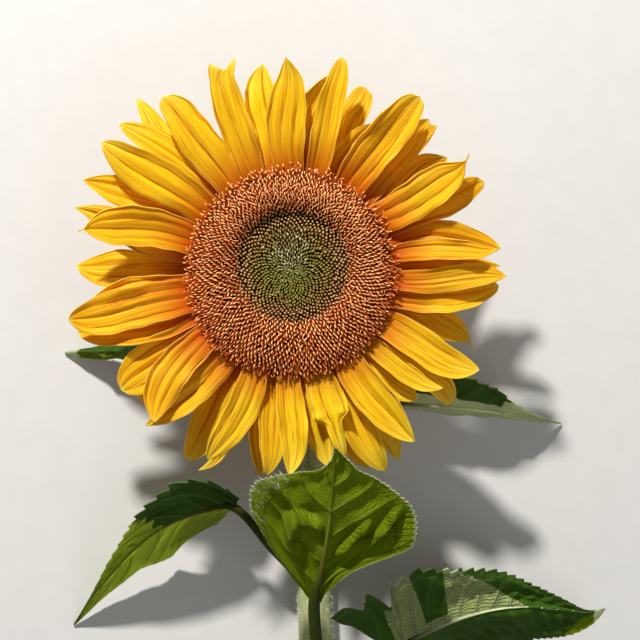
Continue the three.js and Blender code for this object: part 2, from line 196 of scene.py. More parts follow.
# What a leaf has where LEAVES says nothing else. Twist turns the halves about the midrib towards the tip, in
# degrees. Ribs is how far the side veins stand out, and less than nothing where they are sunk. Slant is how
# many spaces between side veins one of them runs on as it nears the margin. Evenness takes from the blade's
# uneven ground, and wander makes the ends of patches waver. Hook bends the last of the tip aside, in mm.
# Stalk is its radius at the stem and at the blade, in mm.
PLAIN_LEAF = {
    "twist": 0, "ribs": -1, "slant": 0.9, "evenness": 0, "wander": 0, "hook": [0, 0, 0], "stalk": [3.6, 2.6],
    "patches": [], "notches": [], "folds": [],
}

# Leaves: node is where the stalk leaves the stem, as y and degrees round it, and veins is the number of side
# veins. Each half has its lean, its width, the lift of its margin, and its outline: the foot, rise, broadest
# place, fall and neck of a plain one, or knots of a place along and the reach there in mm.
# A patch is a range across, a range along, how far that slants across the leaf, and its finish. Patches are
# painted shade, in the dark finish, and painted light, in the paler ones.
# A fold runs between two places, each across and along, with its height in mm, less than nothing in a furrow,
# and how wide its two flanks are. A notch in the left margin is its place, width and depth as shares.
# Hairs is the range across and along that bears them. Teeth are their number, and their depth on each half
# in mm. Sweep is the side veins' angle from the midrib in degrees: at the foot of each half, at the tip, and
# how fast one passes into the other.
LEAVES = {
    "leaf_front": {
        "node": [-268, 96],
        "rise": [15.5, -238, 50],
        "base": [13.7, -202, 71],
        "bow": [25, -152, 100],
        "tip": [26.8, -105, 122],
        "sweep": [56, 63, 60, 0.5],
        "left": [[-0.98, 0, -0.1], 60, 0.12, [
            [0, 3.6], [0.05, 28], [0.1, 41], [0.2, 58], [0.3, 62], [0.4, 56], [0.5, 47], [0.6, 37.5],
            [0.7, 25], [0.8, 11], [0.9, 3.8], [1, 0.7],
        ]],
        "right": [[0.99, 0, -0.08], 60, -0.1, [
            [0, 4.8], [0.05, 6], [0.1, 11.5], [0.15, 20], [0.175, 33], [0.205, 57], [0.24, 61], [0.3, 60],
            [0.4, 56], [0.5, 51], [0.6, 42], [0.7, 29.5], [0.8, 17], [0.9, 9], [1, 0.7],
        ]],
        "finish": ["sunlit", "sunlit"],
        "folds": [
            [0.1, 0.13, 0.42, 0.43, 6, 0.2, 0.09],
            [0.36, 0.18, 0.88, 0.44, 7, 0.14, 0.1],
            [-0.55, 0.2, -0.6, 0.46, 6, 0.2, 0.12],
            [-0.4, 0.5, -0.03, 0.38, 5, 0.15, 0.1],
            [-0.3, 0.12, -0.25, 0.3, 4, 0.1, 0.07],
            [-0.44, 0.2, -0.42, 0.42, -9, 0.07, 0.09],
            [-0.42, 0.43, -0.08, 0.46, -8, 0.07, 0.06],
            [0.14, 0.27, 0.5, 0.44, -10, 0.06, 0.05],
            [0.42, 0.24, 0.85, 0.46, -10, 0.06, 0.05],
        ],
        "evenness": 0.5,
        "hairs": [-1, -0.76, 0.18, 0.6],
        "teeth": [30, 2.2, 2.2],
        "stalk": [4.2, 3.6],
        "veins": 6.5,
    },
    "leaf_left": {
        "node": [-197, 148],
        "rise": [-12.5, -172, 37],
        "base": [-34.8, -146, 46],
        "bow": [-88, -141, 72],
        "tip": [-140, -224, 1.3],
        "sweep": [84, 84, 58, 0.5],
        "left": [[0.1, -0.35, -0.94], 46, -0.1, [0.55, 0.35, 0.42, 0.85, 1]],
        "right": [[0.1, 0.62, 0.66], 36, 0.1, [0.3, 0.2, 0.22, 1.6, 1.6]],
        "finish": ["backlit", "backlit"],
        # Painted shade: the near part of the upper half takes the dark finish where the bloom's shadow falls
        "patches": [[0, 1, 0, 0.43, 0, "upper"]],
        "folds": [
            [0.1, 0.1, 0.6, 0.4, 4, 0.15, 0.06],
            [-0.1, 0.35, -0.6, 0.75, 3, 0.06, 0.15],
            [0.2, 0.5, 0.5, 0.8, 3, 0.12, 0.06],
        ],
        "evenness": 0.5,
        "wander": 0.05,
        "teeth": [17, 1.2, 4.6],
        "stalk": [2.5, 2.6],
        "veins": 8.5,
        "slant": 2.4,
    },
    "leaf_right": {
        "node": [-276, 14],
        "rise": [38, -262, 24],
        "base": [64, -236, 36],
        "bow": [128, -190, 62],
        "tip": [197, -218, 22],
        "hook": [0, 7, 2],
        "sweep": [107, 112, 58, 0.3],
        "twist": -24,
        "left": [[-0.1, 0.88, 0.44], 54, -0.1, [1, 0.1, 0.14, 1.5, 1]],
        "right": [[0.1, -0.62, -0.6], 42, 0.1, [0.86, 0.2, 0.4, 0.6, 1]],
        # Painted shade: the lower half takes the dark finish, for the shade it lies in
        "finish": ["under", "upper"],
        # Painted shade on the small lobe beyond the fold, on the far part of the upper half and in a band of
        # cast shadow; painted light as a yellow-green glow near the tip and a pale highlight at the tip
        # itself
        "patches": [
            [-1, 0, -1, 0.02, 0.07, "upper"],
            [-1, 0, 0.64, 2, -0.34, "upper"],
            [-1, -0.13, 0.165, 0.26, 0, "upper"],
            [0.2, 1, 0.98, 2, 0.2, "sunlit"],
            [-1, 1, 0.95, 1, 0, "pale"],
        ],
        "notches": [[0.03, 0.018, 0.3], [0.085, 0.022, 0.4], [0.135, 0.04, 0.16]],
        "teeth": [25, 5.5, 2.5],
        "ribs": 3,
        "veins": 14,
    },
    "leaf_back_right": {
        "node": [-102, 10],
        "rise": [34, -92, 17],
        "base": [55, -81, 24],
        "bow": [121, -83, 55],
        "tip": [171.5, -95, 1.6],
        "sweep": [85, 85, 58, 0.5],
        "left": [[0, 0.72, 0.69], 36, 0, [0.4, 0.25, 0.3, 1.8, 1]],
        "right": [[0, -0.28, -0.95], 20, 0, [0.4, 0.3, 0.3, 0.85, 1]],
        # Painted shade and light: the half towards the bloom is dark where the bloom's shadow falls, and the
        # strip along its midrib, its tip end and the other half take the pale finish as painted sunlight
        "finish": ["upper", "pale"],
        "patches": [[-1, 0, 0.6, 1, 0, "pale"], [-0.3, 0, 0, 1, 0, "pale"]],
        "teeth": [16, 3, 1],
        "ribs": 1,
        "veins": 7.5,
    },
    "leaf_back_left": {
        "node": [-84, 170],
        "rise": [-24, -74, 15],
        "base": [-40, -66, 20],
        "bow": [-72, -46, 70],
        "tip": [-146, -50, 1.6],
        "sweep": [85, 85, 58, 0.5],
        "left": [[0, -0.34, -0.94], 32, 0, [0.35, 0.3, 0.3, 0.62, 1]],
        "right": [[0, 0.36, -0.93], 32, 0, [0.35, 0.3, 0.3, 0.62, 1]],
        "finish": ["sunlit", "upper"],
        # Painted light: the pale tip
        "patches": [[-1, 1, 0.94, 1, 0, "pale"]],
        "teeth": [16, 1.5, 1.5],
        "veins": 7.5,
    },
}
LEAF_HAIRS = 170
# The size of a leaf's hairs as against the stem's bristles: width, depth and length
LEAF_HAIR_SIZE = (1.5, 1.5, 4.0)
# No blade comes nearer to the floor than this, in mm
LEAF_LOWEST = 0.6

# The camera looks straight down, a little off the bloom's axis
CAMERA_FROM_AXIS = (17.4, -28.8)
CAMERA_HEIGHT = 1496
CAMERA_LENS = 131.25
CAMERA_SENSOR = 36

# What both lights aim at, in mm about the bloom's axis, and their sizes and distances from there in metres.
# The sun-like key light comes from above and from the photo's top, a little from its left.
LIGHTS_AIM = (0, -60, 60)
KEY_DIRECTION = (-0.26, 0.74, 0.68)
KEY_DISTANCE = 2.0
KEY_SIZE = 0.14
FILL_FROM_MIDDLE = (0.9, -0.7, 1.6)
FILL_SIZE = 1.6
ROOM_LIGHT = 0.27
FLOOR_SIZE = 6

# What the patterns on the pieces' own maps are worked out from, as widths and lengths in mm: what a middling
# petal's map and the stem's map cover, and one vein, crease or ridge on them. Patches are a width.
PETAL_MAP = (20.4, 68)
PETAL_VEIN = (0.6, 56.7)
PETAL_CREASE = (1.855, 123.6)
PETAL_PATCH = 3.75
STEM_MAP = (66.6, 360)
STEM_RIDGE = (3.7, 72)
# Rungs of finer veins between a leaf's side veins
RUNG_SPACING = 2
# Wet plant tissue
TISSUE_IOR = 1.4

# Mesh fineness
PETAL_ACROSS = 32
PETAL_ALONG = 40
LEAF_ACROSS = 80
LEAF_ALONG = 180


def linear(colour):
    """An sRGB hex colour as Blender's linear one."""
    channels = [int(colour[k:k + 2], 16) / 255 for k in (0, 2, 4)]
    return tuple(c / 12.92 if c <= 0.04045 else ((c + 0.055) / 1.055) ** 2.4 for c in channels) + (1,)


def colour_property(name, description, colour):
    return FloatVectorProperty(
        name=name, description=description, default=linear(colour),
        subtype="COLOR", size=4, min=0, max=1,
    )


def length_property(name, description, millimetres):
    return FloatProperty(name=name, description=description, default=millimetres * MM, unit="LENGTH")


def power_property(name, description, watts):
    return FloatProperty(name=name, description=description, default=watts, unit="POWER")


class SunflowerSizes(bpy.types.PropertyGroup):
    petal_thickness: length_property("Petal thickness", "Thickness of a petal", 0.5)
    petal_pleat: length_property("Petal pleat", "Depth of the grooves along a petal", 2.3)
    petal_ruffle: length_property("Petal ruffle", "Height of the waves in a petal's edge", 1.8)
    floret_spread: length_property("Floret spread", "Growth of the floret spiral from one to the next", 0.68)
    leaf_thickness: length_property("Leaf thickness", "Thickness of a leaf blade", 0.8)
    leaf_pucker: length_property("Leaf pucker", "Rise of the blade between two veins", 2.2)
    bristle_length: length_property("Bristle length", "Length of the stem's bristles", 2.0)
    bristles: IntProperty(name="Bristles", description="Bristles on the stem", default=2600, min=0)


class SunflowerColours(bpy.types.PropertyGroup):
    petal_root: colour_property("Petal root", "Petal next to the florets", "e06804")
    petal_blade: colour_property("Petal blade", "Middle of a petal", "ffdc1e")
    petal_tip: colour_property("Petal tip", "Petal at its tip", "ffea46")
    # Painted highlight on a petal's margin, crests and tip end
    petal_highlight: colour_property("Petal rim", "Thin edge of a petal", "fff06a")
    # Painted shade in the folds and creases of a petal
    petal_groove_shade: colour_property("Petal groove", "Bottom of the grooves along a petal", "cc6c04")
    petal_glow: colour_property("Petal glow", "Light that has passed through a petal", "ffb00c")
    floret_tube: colour_property("Floret tube", "Lobes of an open floret", "ba541a")
    anther: colour_property("Anther", "Rod of anthers in an open floret", "b45018")
    stigma: colour_property("Stigma", "Curled stigmas", "ffb874")
    bud_cap: colour_property("Bud cap", "Tips of the outer buds", "c8a46a")
    bud_olive: colour_property("Bud olive", "Tips of the buds half way in", "9c8a44")
    bud_green: colour_property("Bud green", "Tips of the inner buds", "868238")
    # Real chaff, made pale and gathered as a painted highlight
    chaff: colour_property("Chaff", "Pale scale tips between the inner buds", "e2e0c6")
    bed: colour_property("Floret bed", "Ground between the florets", "562c10")
    # Painted light: the sunlit and backlit colours are brighter than the leaf's own, for light through it
    leaf_sunlit: colour_property("Leaf, sunlit", "Thin leaf with the light behind it", "9cb414")
    leaf_backlit: colour_property("Leaf, lit from behind", "Thin leaf that glows", "e2f068")
    # The upper side's colour, also used as painted shade where shade falls on a leaf
    leaf_upper: colour_property("Leaf, upper side", "Glossier side of a leaf", "40640f")
    leaf_under: colour_property("Leaf, under side", "Paler side of a leaf", "ccdc88")
    # Painted light: a leaf in full sun, also the colour of light through a leaf's under side
    leaf_pale_lit: colour_property("Leaf, pale", "Palest side of a leaf, near the bloom", "eaf2c6")
    leaf_glow: colour_property("Leaf glow", "Light that has passed through a leaf", "cadc1c")
    vein_pale: colour_property("Pale veins", "Veins on the under side", "e6eab8")
    vein_olive: colour_property("Olive veins", "Veins on the upper side", "76741e")
    vein_upper: colour_property("Dark veins", "Veins on the darkest side", "527030")
    # Painted highlight where the hairs on a leaf's margin catch the light
    leaf_rim_highlight: colour_property("Leaf rim", "Fine hairs on a leaf's edge", "e6ecc4")
    stalk: colour_property("Leaf stalk", "Skin of a leaf's stalk", "323c0c")
    stem_skin: colour_property("Stem skin", "Skin of the stem", "b0b074")
    stem_shade: colour_property("Stem streaks", "Streaks along the stem", "7d8a5a")
    calyx: colour_property("Calyx", "Skin of the receptacle and bracts", "8a9c58")
    calyx_streak: colour_property("Calyx streaks", "Streaks along the bracts", "5b7836")
    bristle: colour_property("Bristles", "Stiff hairs on stem and leaves", "f1eedd")


class SunflowerStage(bpy.types.PropertyGroup):
    key_power: power_property("Key light", "Power of the main light", 62)
    fill_power: power_property("Fill light", "Power of the fill light", 5)
    floor: colour_property("Floor", "Plain pale floor", "cfcdc9")


# Placing and mesh helpers

def to_frame(points):
    """Points in millimetres about the bloom's axis, as metres in the shared frame."""
    return (np.asarray(points, float) + np.array(BLOOM_AXIS)) * MM


def deselect():
    if bpy.context.object and bpy.context.object.mode != "OBJECT":
        bpy.ops.object.mode_set(mode="OBJECT")
    bpy.ops.object.select_all(action="DESELECT")


def take(obj):
    deselect()
    obj.select_set(True)
    bpy.context.view_layer.objects.active = obj


def named(name):
    made = bpy.context.object
    made.name = name
    made.data.name = name
    return made


def unit_grid(name, across, along):
    """A flat sheet of faces: u from -1 to 1 across it, v from 0 to 1 along it."""
    deselect()
    bpy.ops.mesh.primitive_grid_add(x_subdivisions=across, y_subdivisions=along, size=2)
    sheet = named(name)
    places = np.empty(len(sheet.data.vertices) * 3)
    sheet.data.vertices.foreach_get("co", places)
    places = places.reshape(-1, 3)
    return sheet, places[:, 0], (places[:, 1] + 1) / 2


def put_points(obj, points):
    obj.data.vertices.foreach_set("co", to_frame(points).ravel())
    obj.data.update()


def put_values(obj, name, values):
    layer = obj.data.attributes.new(name, "FLOAT", "POINT")
    layer.data.foreach_set("value", np.asarray(values, float) * np.ones(len(obj.data.vertices)))


def apply_modifier(obj, kind, **settings):
    take(obj)
    modifier = obj.modifiers.new(kind.title(), kind)
    for key, value in settings.items():
        setattr(modifier, key, value)
    bpy.ops.object.modifier_apply(modifier=modifier.name)


def thicken(obj, thickness):
    apply_modifier(obj, "SOLIDIFY", thickness=thickness, offset=0)


def smooth(obj, degrees=50):
    take(obj)
    bpy.ops.object.shade_smooth_by_angle(angle=math.radians(degrees))


def edit(action="SELECT"):
    """Opens the mesh in edit mode with all of it selected, or nothing."""
    bpy.ops.object.mode_set(mode="EDIT")
    bpy.ops.mesh.select_all(action=action)


def close_up(obj):
    """Joins the edges that meet, fills the open ends and turns every face outwards."""
    take(obj)
    edit()
    bpy.ops.mesh.remove_doubles(threshold=MEETING_GAP * MM)
    bpy.ops.mesh.fill_holes(sides=0)
    bpy.ops.mesh.select_all(action="SELECT")
    bpy.ops.mesh.normals_make_consistent(inside=False)
    bpy.ops.object.mode_set(mode="OBJECT")


def finish_piece(obj, material, slot, *nodes):
    if material:
        obj.data.materials.clear()
        obj.data.materials.append(material)
    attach(obj, "root")
    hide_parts(*nodes)


def lerp(low, high, share):
    return low + (high - low) * share


def smoothstep(low, high, value):
    share = np.clip((value - low) / (high - low), 0, 1)
    return share * share * (3 - 2 * share)


def unit(vectors):
    return vectors / np.linalg.norm(vectors, axis=-1, keepdims=True)


def bearing(degrees):
    angle = np.radians(degrees)
    return np.stack([np.cos(angle), np.sin(angle), np.zeros_like(angle)], axis=-1)


def curve_through(controls, share):
    """A smooth line through the control points, at each share of it."""
    controls = np.asarray(controls, float)
    spans = len(controls) - 1
    padded = np.vstack([2 * controls[0] - controls[1], controls, 2 * controls[-1] - controls[-2]])
    at = np.clip(np.asarray(share, float) * spans, 0, spans - 1e-9)
    k = at.astype(int)
    f = (at - k)[:, None]
    a, b, c, d = padded[k], padded[k + 1], padded[k + 2], padded[k + 3]
    return 0.5 * (2 * b + (c - a) * f + (2 * a - 5 * b + 4 * c - d) * f ** 2
                  + (3 * b - a - 3 * c + d) * f ** 3)


def rolled(name, centres, radii, sides, ribs, rib_depth):
    """A closed tube along the centres. Its rings are square to its line, and its map runs round and along."""
    steps = len(centres) - 1
    tube, u, v = unit_grid(name, sides, steps)
    row = np.rint(v * steps).astype(int)
    forward = unit(np.gradient(centres, axis=0))
    side = np.empty_like(forward)
    last = np.array([1.0, 0, 0]) if abs(forward[0][0]) < 0.9 else np.array([0, 0, 1.0])
    for k, ahead in enumerate(forward):
        last = last - ahead * last.dot(ahead)
        last = last / np.linalg.norm(last)
        side[k] = last
    other = np.cross(forward, side)
    turn = np.pi * u
    swell = 1 + rib_depth * np.cos(ribs * turn)
    reach = (np.asarray(radii)[row] * swell)[:, None]
    places = centres[row] + reach * (
        side[row] * np.cos(turn)[:, None] + other[row] * np.sin(turn)[:, None]
    )
    put_points(tube, places)
    close_up(tube)
    return tube


def turned(name, profile, sides, moved=lambda places: places):
    """A closed solid turned about the bloom's axis from its outline of radius and height."""
    profile = np.asarray(profile, float)
    body, u, v = unit_grid(name, sides, len(profile) - 1)
    row = np.rint(v * (len(profile) - 1)).astype(int)
    turn = np.pi * u
    radius = profile[row, 0]
    places = np.stack([radius * np.cos(turn), radius * np.sin(turn), profile[row, 1]], axis=-1)
    put_points(body, moved(places))
    close_up(body)
    return body


def many(name, make_template, places, axes, outward, scales):
    """One mesh of many copies of a small template, each with its own axis, facing and size."""
    template = make_template()
    corners = np.empty(len(template.data.vertices) * 3)
    template.data.vertices.foreach_get("co", corners)
    corners = corners.reshape(-1, 3) / MM
    up = unit(axes)
    ahead = unit(outward - up * np.sum(outward * up, axis=1, keepdims=True))
    left = np.cross(up, ahead)
    sized = corners[None] * np.asarray(scales)[:, None, :]
    points = (places[:, None] + sized[..., :1] * ahead[:, None] + sized[..., 1:2] * left[:, None]
              + sized[..., 2:] * up[:, None])
    faces = [tuple(face.vertices) for face in template.data.polygons]
    step = len(corners)
    mesh = bpy.data.meshes.new(name)
    mesh.from_pydata(
        to_frame(points.reshape(-1, 3)).tolist(), [],
        [tuple(n + k * step for n in face) for k in range(len(places)) for face in faces],
    )
    mesh.update()
    made = bpy.data.objects.new(name, mesh)
    bpy.context.scene.collection.objects.link(made)
    smooth(made, 60)
    bpy.data.meshes.remove(template.data)
    return made


def settle(obj):
    """Takes an object's place into its mesh."""
    obj.data.transform(obj.matrix_world)
    obj.matrix_world.identity()
    return obj


# Materials

def every(millimetres):
    """The scale of a pattern on Object coordinates whose marks are so many millimetres apart."""
    return 1 / (millimetres * MM)


def darker(colour, share):
    return [c * share for c in colour[:3]] + [1]


def add_node(tree, kind, inputs, output=0, stops=(), **settings):
    """Adds a node with its settings and a colour ramp's stops, links or sets its inputs, which come in the
    order of its sockets or by name or number, and gives one of its outputs."""
    made = tree.nodes.new("ShaderNode" + kind)
    for key, value in settings.items():
        setattr(made, key, value)
    for socket, value in inputs.items() if isinstance(inputs, dict) else enumerate(inputs):
        if isinstance(value, bpy.types.NodeSocket):
            tree.links.new(value, made.inputs[socket])
        else:
            made.inputs[socket].default_value = tuple(value) if hasattr(value, "__len__") else value
    if stops:
        elements = made.color_ramp.elements
        while len(elements) < len(stops):
            elements.new(0.5)
        for element, (position, colour) in zip(elements, stops):
            element.position = position
            element.color = tuple(colour)
    return made.outputs[output] if made.outputs else None


def new_material(name):
    """An empty material, and what adds a node to it."""
    material = bpy.data.materials.new(name)
    material.use_nodes = True
    material.node_tree.nodes.clear()
    return material, partial(add_node, material.node_tree)


def plain_material(name, colour, roughness):
    """For pieces of many small things, where the shapes themselves are the detail."""
    material, node = new_material(name)
    skin = node("BsdfPrincipled", {
        "Base Color": colour, "Roughness": roughness, "IOR": TISSUE_IOR, "Specular IOR Level": 0.25,
    })
    node("OutputMaterial", [skin])
    return material


def painted_rim(node, across, colour, rim_colour, start, strength):
    """The thin margin of a blade, painted paler as a highlight where light comes through it."""
    middle = node("Math", [across, 2, -1], operation="MULTIPLY_ADD")
    share = node("MapRange", [node("Math", [middle], operation="ABSOLUTE"), start, 1, 0, strength])
    return node("Mix", {0: share, 6: colour, 7: rim_colour}, 2, data_type="RGBA")


def leafy_shader(node, colour, glow, share, bump, roughness):
    """A thin blade: its skin, and the light that comes through it."""
    skin = node("BsdfPrincipled", {
        "Base Color": colour, "Roughness": roughness, "IOR": TISSUE_IOR, "Specular IOR Level": 0.2,
        "Normal": bump,
    })
    through = node("BsdfTranslucent", [glow, bump])
    node("OutputMaterial", [node("MixShader", [share, skin, through])])


def petal_material(colours):
    """Ray floret: thin satin tissue full of water. Light passes through it and comes out deep orange, fine
    parallel veins run from root to tip, and here and there a sharp crease runs with them. Shade is painted
    orange into its folds and creases and onto the petals that lie across the light, and highlights are
    painted pale on its crests, its margin and its tip."""
    material, node = new_material("ray_petal")
    surface = node("UVMap", [], uv_map="UVMap")
    across = node("SeparateXYZ", [surface], "X")
    along = node("SeparateXYZ", [surface], "Y")
    warmth, tone, fold, depth = (
        node("Attribute", [], "Fac", attribute_name=mark) for mark in ("warmth", "tone", "fold", "depth")
    )
    own = node("CombineXYZ", {"Z": node("Math", [tone, 37], operation="MULTIPLY")})
    fine, broad = (
        node("VectorMath", [surface, (PETAL_MAP[0] / wide, PETAL_MAP[1] / long, 1), own],
             operation="MULTIPLY_ADD")
        for wide, long in (PETAL_VEIN, PETAL_CREASE)
    )
    # Veins, patches, and creases where a broader noise passes through its middle
    veins = node("TexNoise", {"Vector": fine, "Scale": 1, "Detail": 3, "Roughness": 0.55})
    patches = node("TexNoise", {"Vector": fine, "Scale": PETAL_VEIN[0] / PETAL_PATCH})
    waves = node("TexNoise", {"Vector": broad, "Scale": 1, "Detail": 1})
    contour = node("Math", [node("Math", [waves, 0.5], operation="SUBTRACT")], operation="ABSOLUTE")
    crease = node("MapRange", [contour, 0, 0.022, 0.6, 0])
    # Orange runs further out on the warm petals, partly painted shade, and further along some veins than
    # others
    slower = node("MapRange", [warmth, 0, 1, 1, 0.62])
    ragged = node("Math", [veins, 0.3, -0.15], operation="MULTIPLY_ADD")
    outwards = node("Math", [along, slower, ragged], operation="MULTIPLY_ADD")
    colour = node("ValToRGB", [outwards], stops=[
        (0.02, colours.petal_root), (0.33, colours.petal_blade), (0.62, colours.petal_blade),
        (0.9, colours.petal_tip),
    ])
    # Painted shade: orange in the bottom of a fold and on the creases, with the veins' own darker lines.
    # Painted
    # highlight: pale on the crest past it
    beside = node("Math", [fold, 0.5], operation="PINGPONG")
    valley = node("Math", [node("MapRange", [beside, 0, 0.16, 1, 0]), 2], operation="POWER")
    line = node("MapRange", [beside, 0, 0.04, 0.5, 0])
    past = node("Math", [node("Math", [fold, -0.12], operation="ADD"), 0.5], operation="PINGPONG")
    ridge = node("Math", [node("MapRange", [past, 0, 0.055, 1, 0]), depth], operation="MULTIPLY")
    crest = node("Math", [ridge, node("MapRange", [veins, 0.35, 0.55])], operation="MULTIPLY")
    lines = node("Math", [node("MapRange", [veins, 0.5, 0.7, 0, 0.3]), crease], operation="ADD")
    folded = node("Math", [valley, 0.5, line], operation="MULTIPLY_ADD")
    groove = node("Math", [folded, depth, lines], operation="MULTIPLY_ADD", use_clamp=True)
    lit = node("Math", [crest, 0.7], operation="MULTIPLY")
    for share, tint in ((groove, colours.petal_groove_shade), (lit, colours.petal_highlight)):
        colour = node("Mix", {0: share, 6: colour, 7: tint}, 2, data_type="RGBA")
    # The petal's warmth, which is partly painted shade across the light, its patches, its thin margin and its
    # tip
    colour = node("HueSaturation", {
        "Hue": node("MapRange", [warmth, 0, 1, 0.506, 0.483]),
        "Value": node("MapRange", [patches, 0.3, 0.7, 0.86, 1.04]),
        "Color": colour,
    })
    # Painted highlight: the thin margin and the last of the tip are made paler
    colour = painted_rim(node, across, colour, colours.petal_highlight, 0.94, 0.6)
    end = node("MapRange", [along, 0.955, 1, 0, 0.8])
    colour = node("Mix", {0: end, 6: colour, 7: colours.petal_highlight}, 2, data_type="RGBA")
    deep = node("Gamma", [colour, 1.25])
    glow = node("Mix", {0: 0.2, 6: deep, 7: colours.petal_glow}, 2, data_type="RGBA")
    creased = node("Math", [crease, -1, veins], operation="MULTIPLY_ADD")
    height = node("Math", [creased, crest], operation="ADD")
    bump = node("Bump", {"Strength": 0.5, "Distance": 0.5 * MM, "Height": height})
    leafy_shader(node, colour, glow, 0.42, bump, 0.5)
    return material


def leaf_material(name, blade, vein_colour, rim_colour, glow, glow_share, height, wrinkled, shade):
    """Sunflower leaf: side veins, and between them meshes of a millimetre or two and either rungs of finer
    veins about 2 mm apart or wrinkles that run with the side veins. It is waxy above and hairy below, and
    light that passes through it turns yellow-green. The net of rungs, wrinkles and meshes is darker, partly
    in its own colour and partly as painted shade; shade is also painted beside each side vein of unwrinkled
    leaves and in the furrows, and a paler highlight is painted on the rim."""
    material, node = new_material(name)
    across = node("SeparateXYZ", [node("UVMap", [], uv_map="UVMap")], "X")
    place = node("TexCoord", [], "Object")
    phase, out, vein, furrow = (
        node("Attribute", [], "Fac", attribute_name=mark) for mark in ("phase", "out", "vein", "furrow")
    )
    # Darker and lighter patches, the wavering of the finer veins, and the meshes between them
    patches = node("TexNoise", {"Vector": place, "Scale": every(26.32), "Detail": 4, "Roughness": 0.6})
    warp = node("TexNoise", {"Vector": place, "Scale": every(9.09)})
    net = node("TexVoronoi", {"Vector": place, "Scale": every(1.613)}, "Distance", feature="DISTANCE_TO_EDGE")
    meshes = node("Math", [node("MapRange", [net, 0.02, 0.3, 1, 0]), 0.5], operation="MULTIPLY")
    if wrinkled:
        wavy = node("Math", [warp, 4], operation="MULTIPLY")
        bent = node("Math", [phase, 10, wavy], operation="MULTIPLY_ADD")
    else:
        cell = node("Math", [node("Math", [phase], operation="FLOOR"), 0.37], operation="MULTIPLY")
        step = node("Math", [out, 1 / RUNG_SPACING, cell], operation="MULTIPLY_ADD")
        bent = node("Math", [warp, 2.2, step], operation="MULTIPLY_ADD")
    rungs = node("MapRange", [node("Math", [bent, 0.5], operation="PINGPONG"), 0, 0.36, 1, 0])
    between = node("Math", [rungs, meshes], operation="MAXIMUM")
    side_vein = node("MapRange", [node("Math", [phase, 0.5], operation="PINGPONG"), 0, 0.07, 0.7, 0])
    veins = node("Math", [node("Math", [vein, 0.8], operation="MULTIPLY"), side_vein], operation="MAXIMUM")
    # What lies over the ground, from the first layer to the last: the net, darker partly in its own colour
    # and partly as painted shade, painted shade beside the side veins and in the furrows, then the veins' own
    # colour
    dark = darker(blade, shade)
    layers = [(node("MapRange", [between, 0, 1, 0, 0.68 if wrinkled else 0.85]), dark)]
    if not wrinkled:
        past = node("Math", [node("Math", [phase, -0.12], operation="ADD"), 0.5], operation="PINGPONG")
        layers.append((node("MapRange", [past, 0, 0.06, 0.8, 0]), dark))
    layers.append((node("Math", [furrow, 0.8], operation="MULTIPLY"), dark))
    layers.append((veins, vein_colour))
    colour = node("ValToRGB", [patches], stops=[(0.3, darker(blade, 0.72)), (0.7, blade)])
    for share, tint in layers:
        colour = node("Mix", {0: share, 6: colour, 7: tint}, 2, data_type="RGBA")
    # Painted highlight along the thin margin
    colour = painted_rim(node, across, colour, rim_colour, 0.975, 0.8)
    lit = node("Mix", {0: 0.4, 6: colour, 7: glow}, 2, data_type="RGBA")
    raised = node("Math", [veins, 1.2, patches], operation="MULTIPLY_ADD")
    raised = node("Math", [between, 0.5, raised], operation="MULTIPLY_ADD")
    bump = node("Bump", {"Strength": 1, "Distance": height * MM, "Height": raised})
    leafy_shader(node, colour, lit, glow_share, bump, 0.55)
    return material


def stem_material(colours, name, skin_colour, streak_colour, hairiness):
    """Stem skin: ridged lengthwise about every 4 mm, mottled, and pale where fine hairs catch light. On the
    bracts' small maps the same ridges stand about 1 mm apart."""
    material, node = new_material(name)
    surface = node("UVMap", [], uv_map="UVMap")
    place = node("TexCoord", [], "Object")
    repeats = (STEM_MAP[0] / STEM_RIDGE[0], STEM_MAP[1] / STEM_RIDGE[1], 1)
    stretched = node("VectorMath", [surface, repeats], operation="MULTIPLY")
    ridges = node("TexNoise", {"Vector": stretched, "Scale": 1, "Detail": 4, "Roughness": 0.6})
    specks = node("TexNoise", {"Vector": place, "Scale": every(1.111)})
    colour = node("ValToRGB", [ridges], stops=[(0.36, streak_colour), (0.62, skin_colour)])
    pale = node("MapRange", [specks, 0.55, 0.72, 0, hairiness])
    speckled = node("Mix", {0: pale, 6: colour, 7: colours.bristle}, 2, data_type="RGBA")
    height = node("Math", [specks, 0.4, ridges], operation="MULTIPLY_ADD")
    bump = node("Bump", {"Strength": 0.5, "Distance": 0.5 * MM, "Height": height})
    skin = node("BsdfPrincipled", {
        "Base Color": speckled, "Roughness": 0.6, "IOR": 1.42, "Normal": bump, "Sheen Weight": 0.25,
    })
    node("OutputMaterial", [skin])
    return material


def stalk_material(name, stalk_colour, rib_colour):
    """Leaf stalk and midrib: firm wet tissue under a thin skin, dark where it is thick and paler as it
    thins out along the blade. Its grain is 2 mm wide."""
    material, node = new_material(name)
    along = node("SeparateXYZ", [node("UVMap", [], uv_map="UVMap")], "Y")
    grain = node("TexNoise", {"Vector": node("TexCoord", [], "Object"), "Scale": every(2), "Detail": 3})
    colour = node("ValToRGB", [along], stops=[(0.4, stalk_colour), (0.75, rib_colour)])
    bump = node("Bump", {"Strength": 0.3, "Distance": 0.3 * MM, "Height": grain})
    skin = node("BsdfPrincipled", {
        "Base Color": colour, "Roughness": 0.7, "IOR": TISSUE_IOR, "Specular IOR Level": 0.15, "Normal": bump,
    })
    node("OutputMaterial", [skin])
    return material


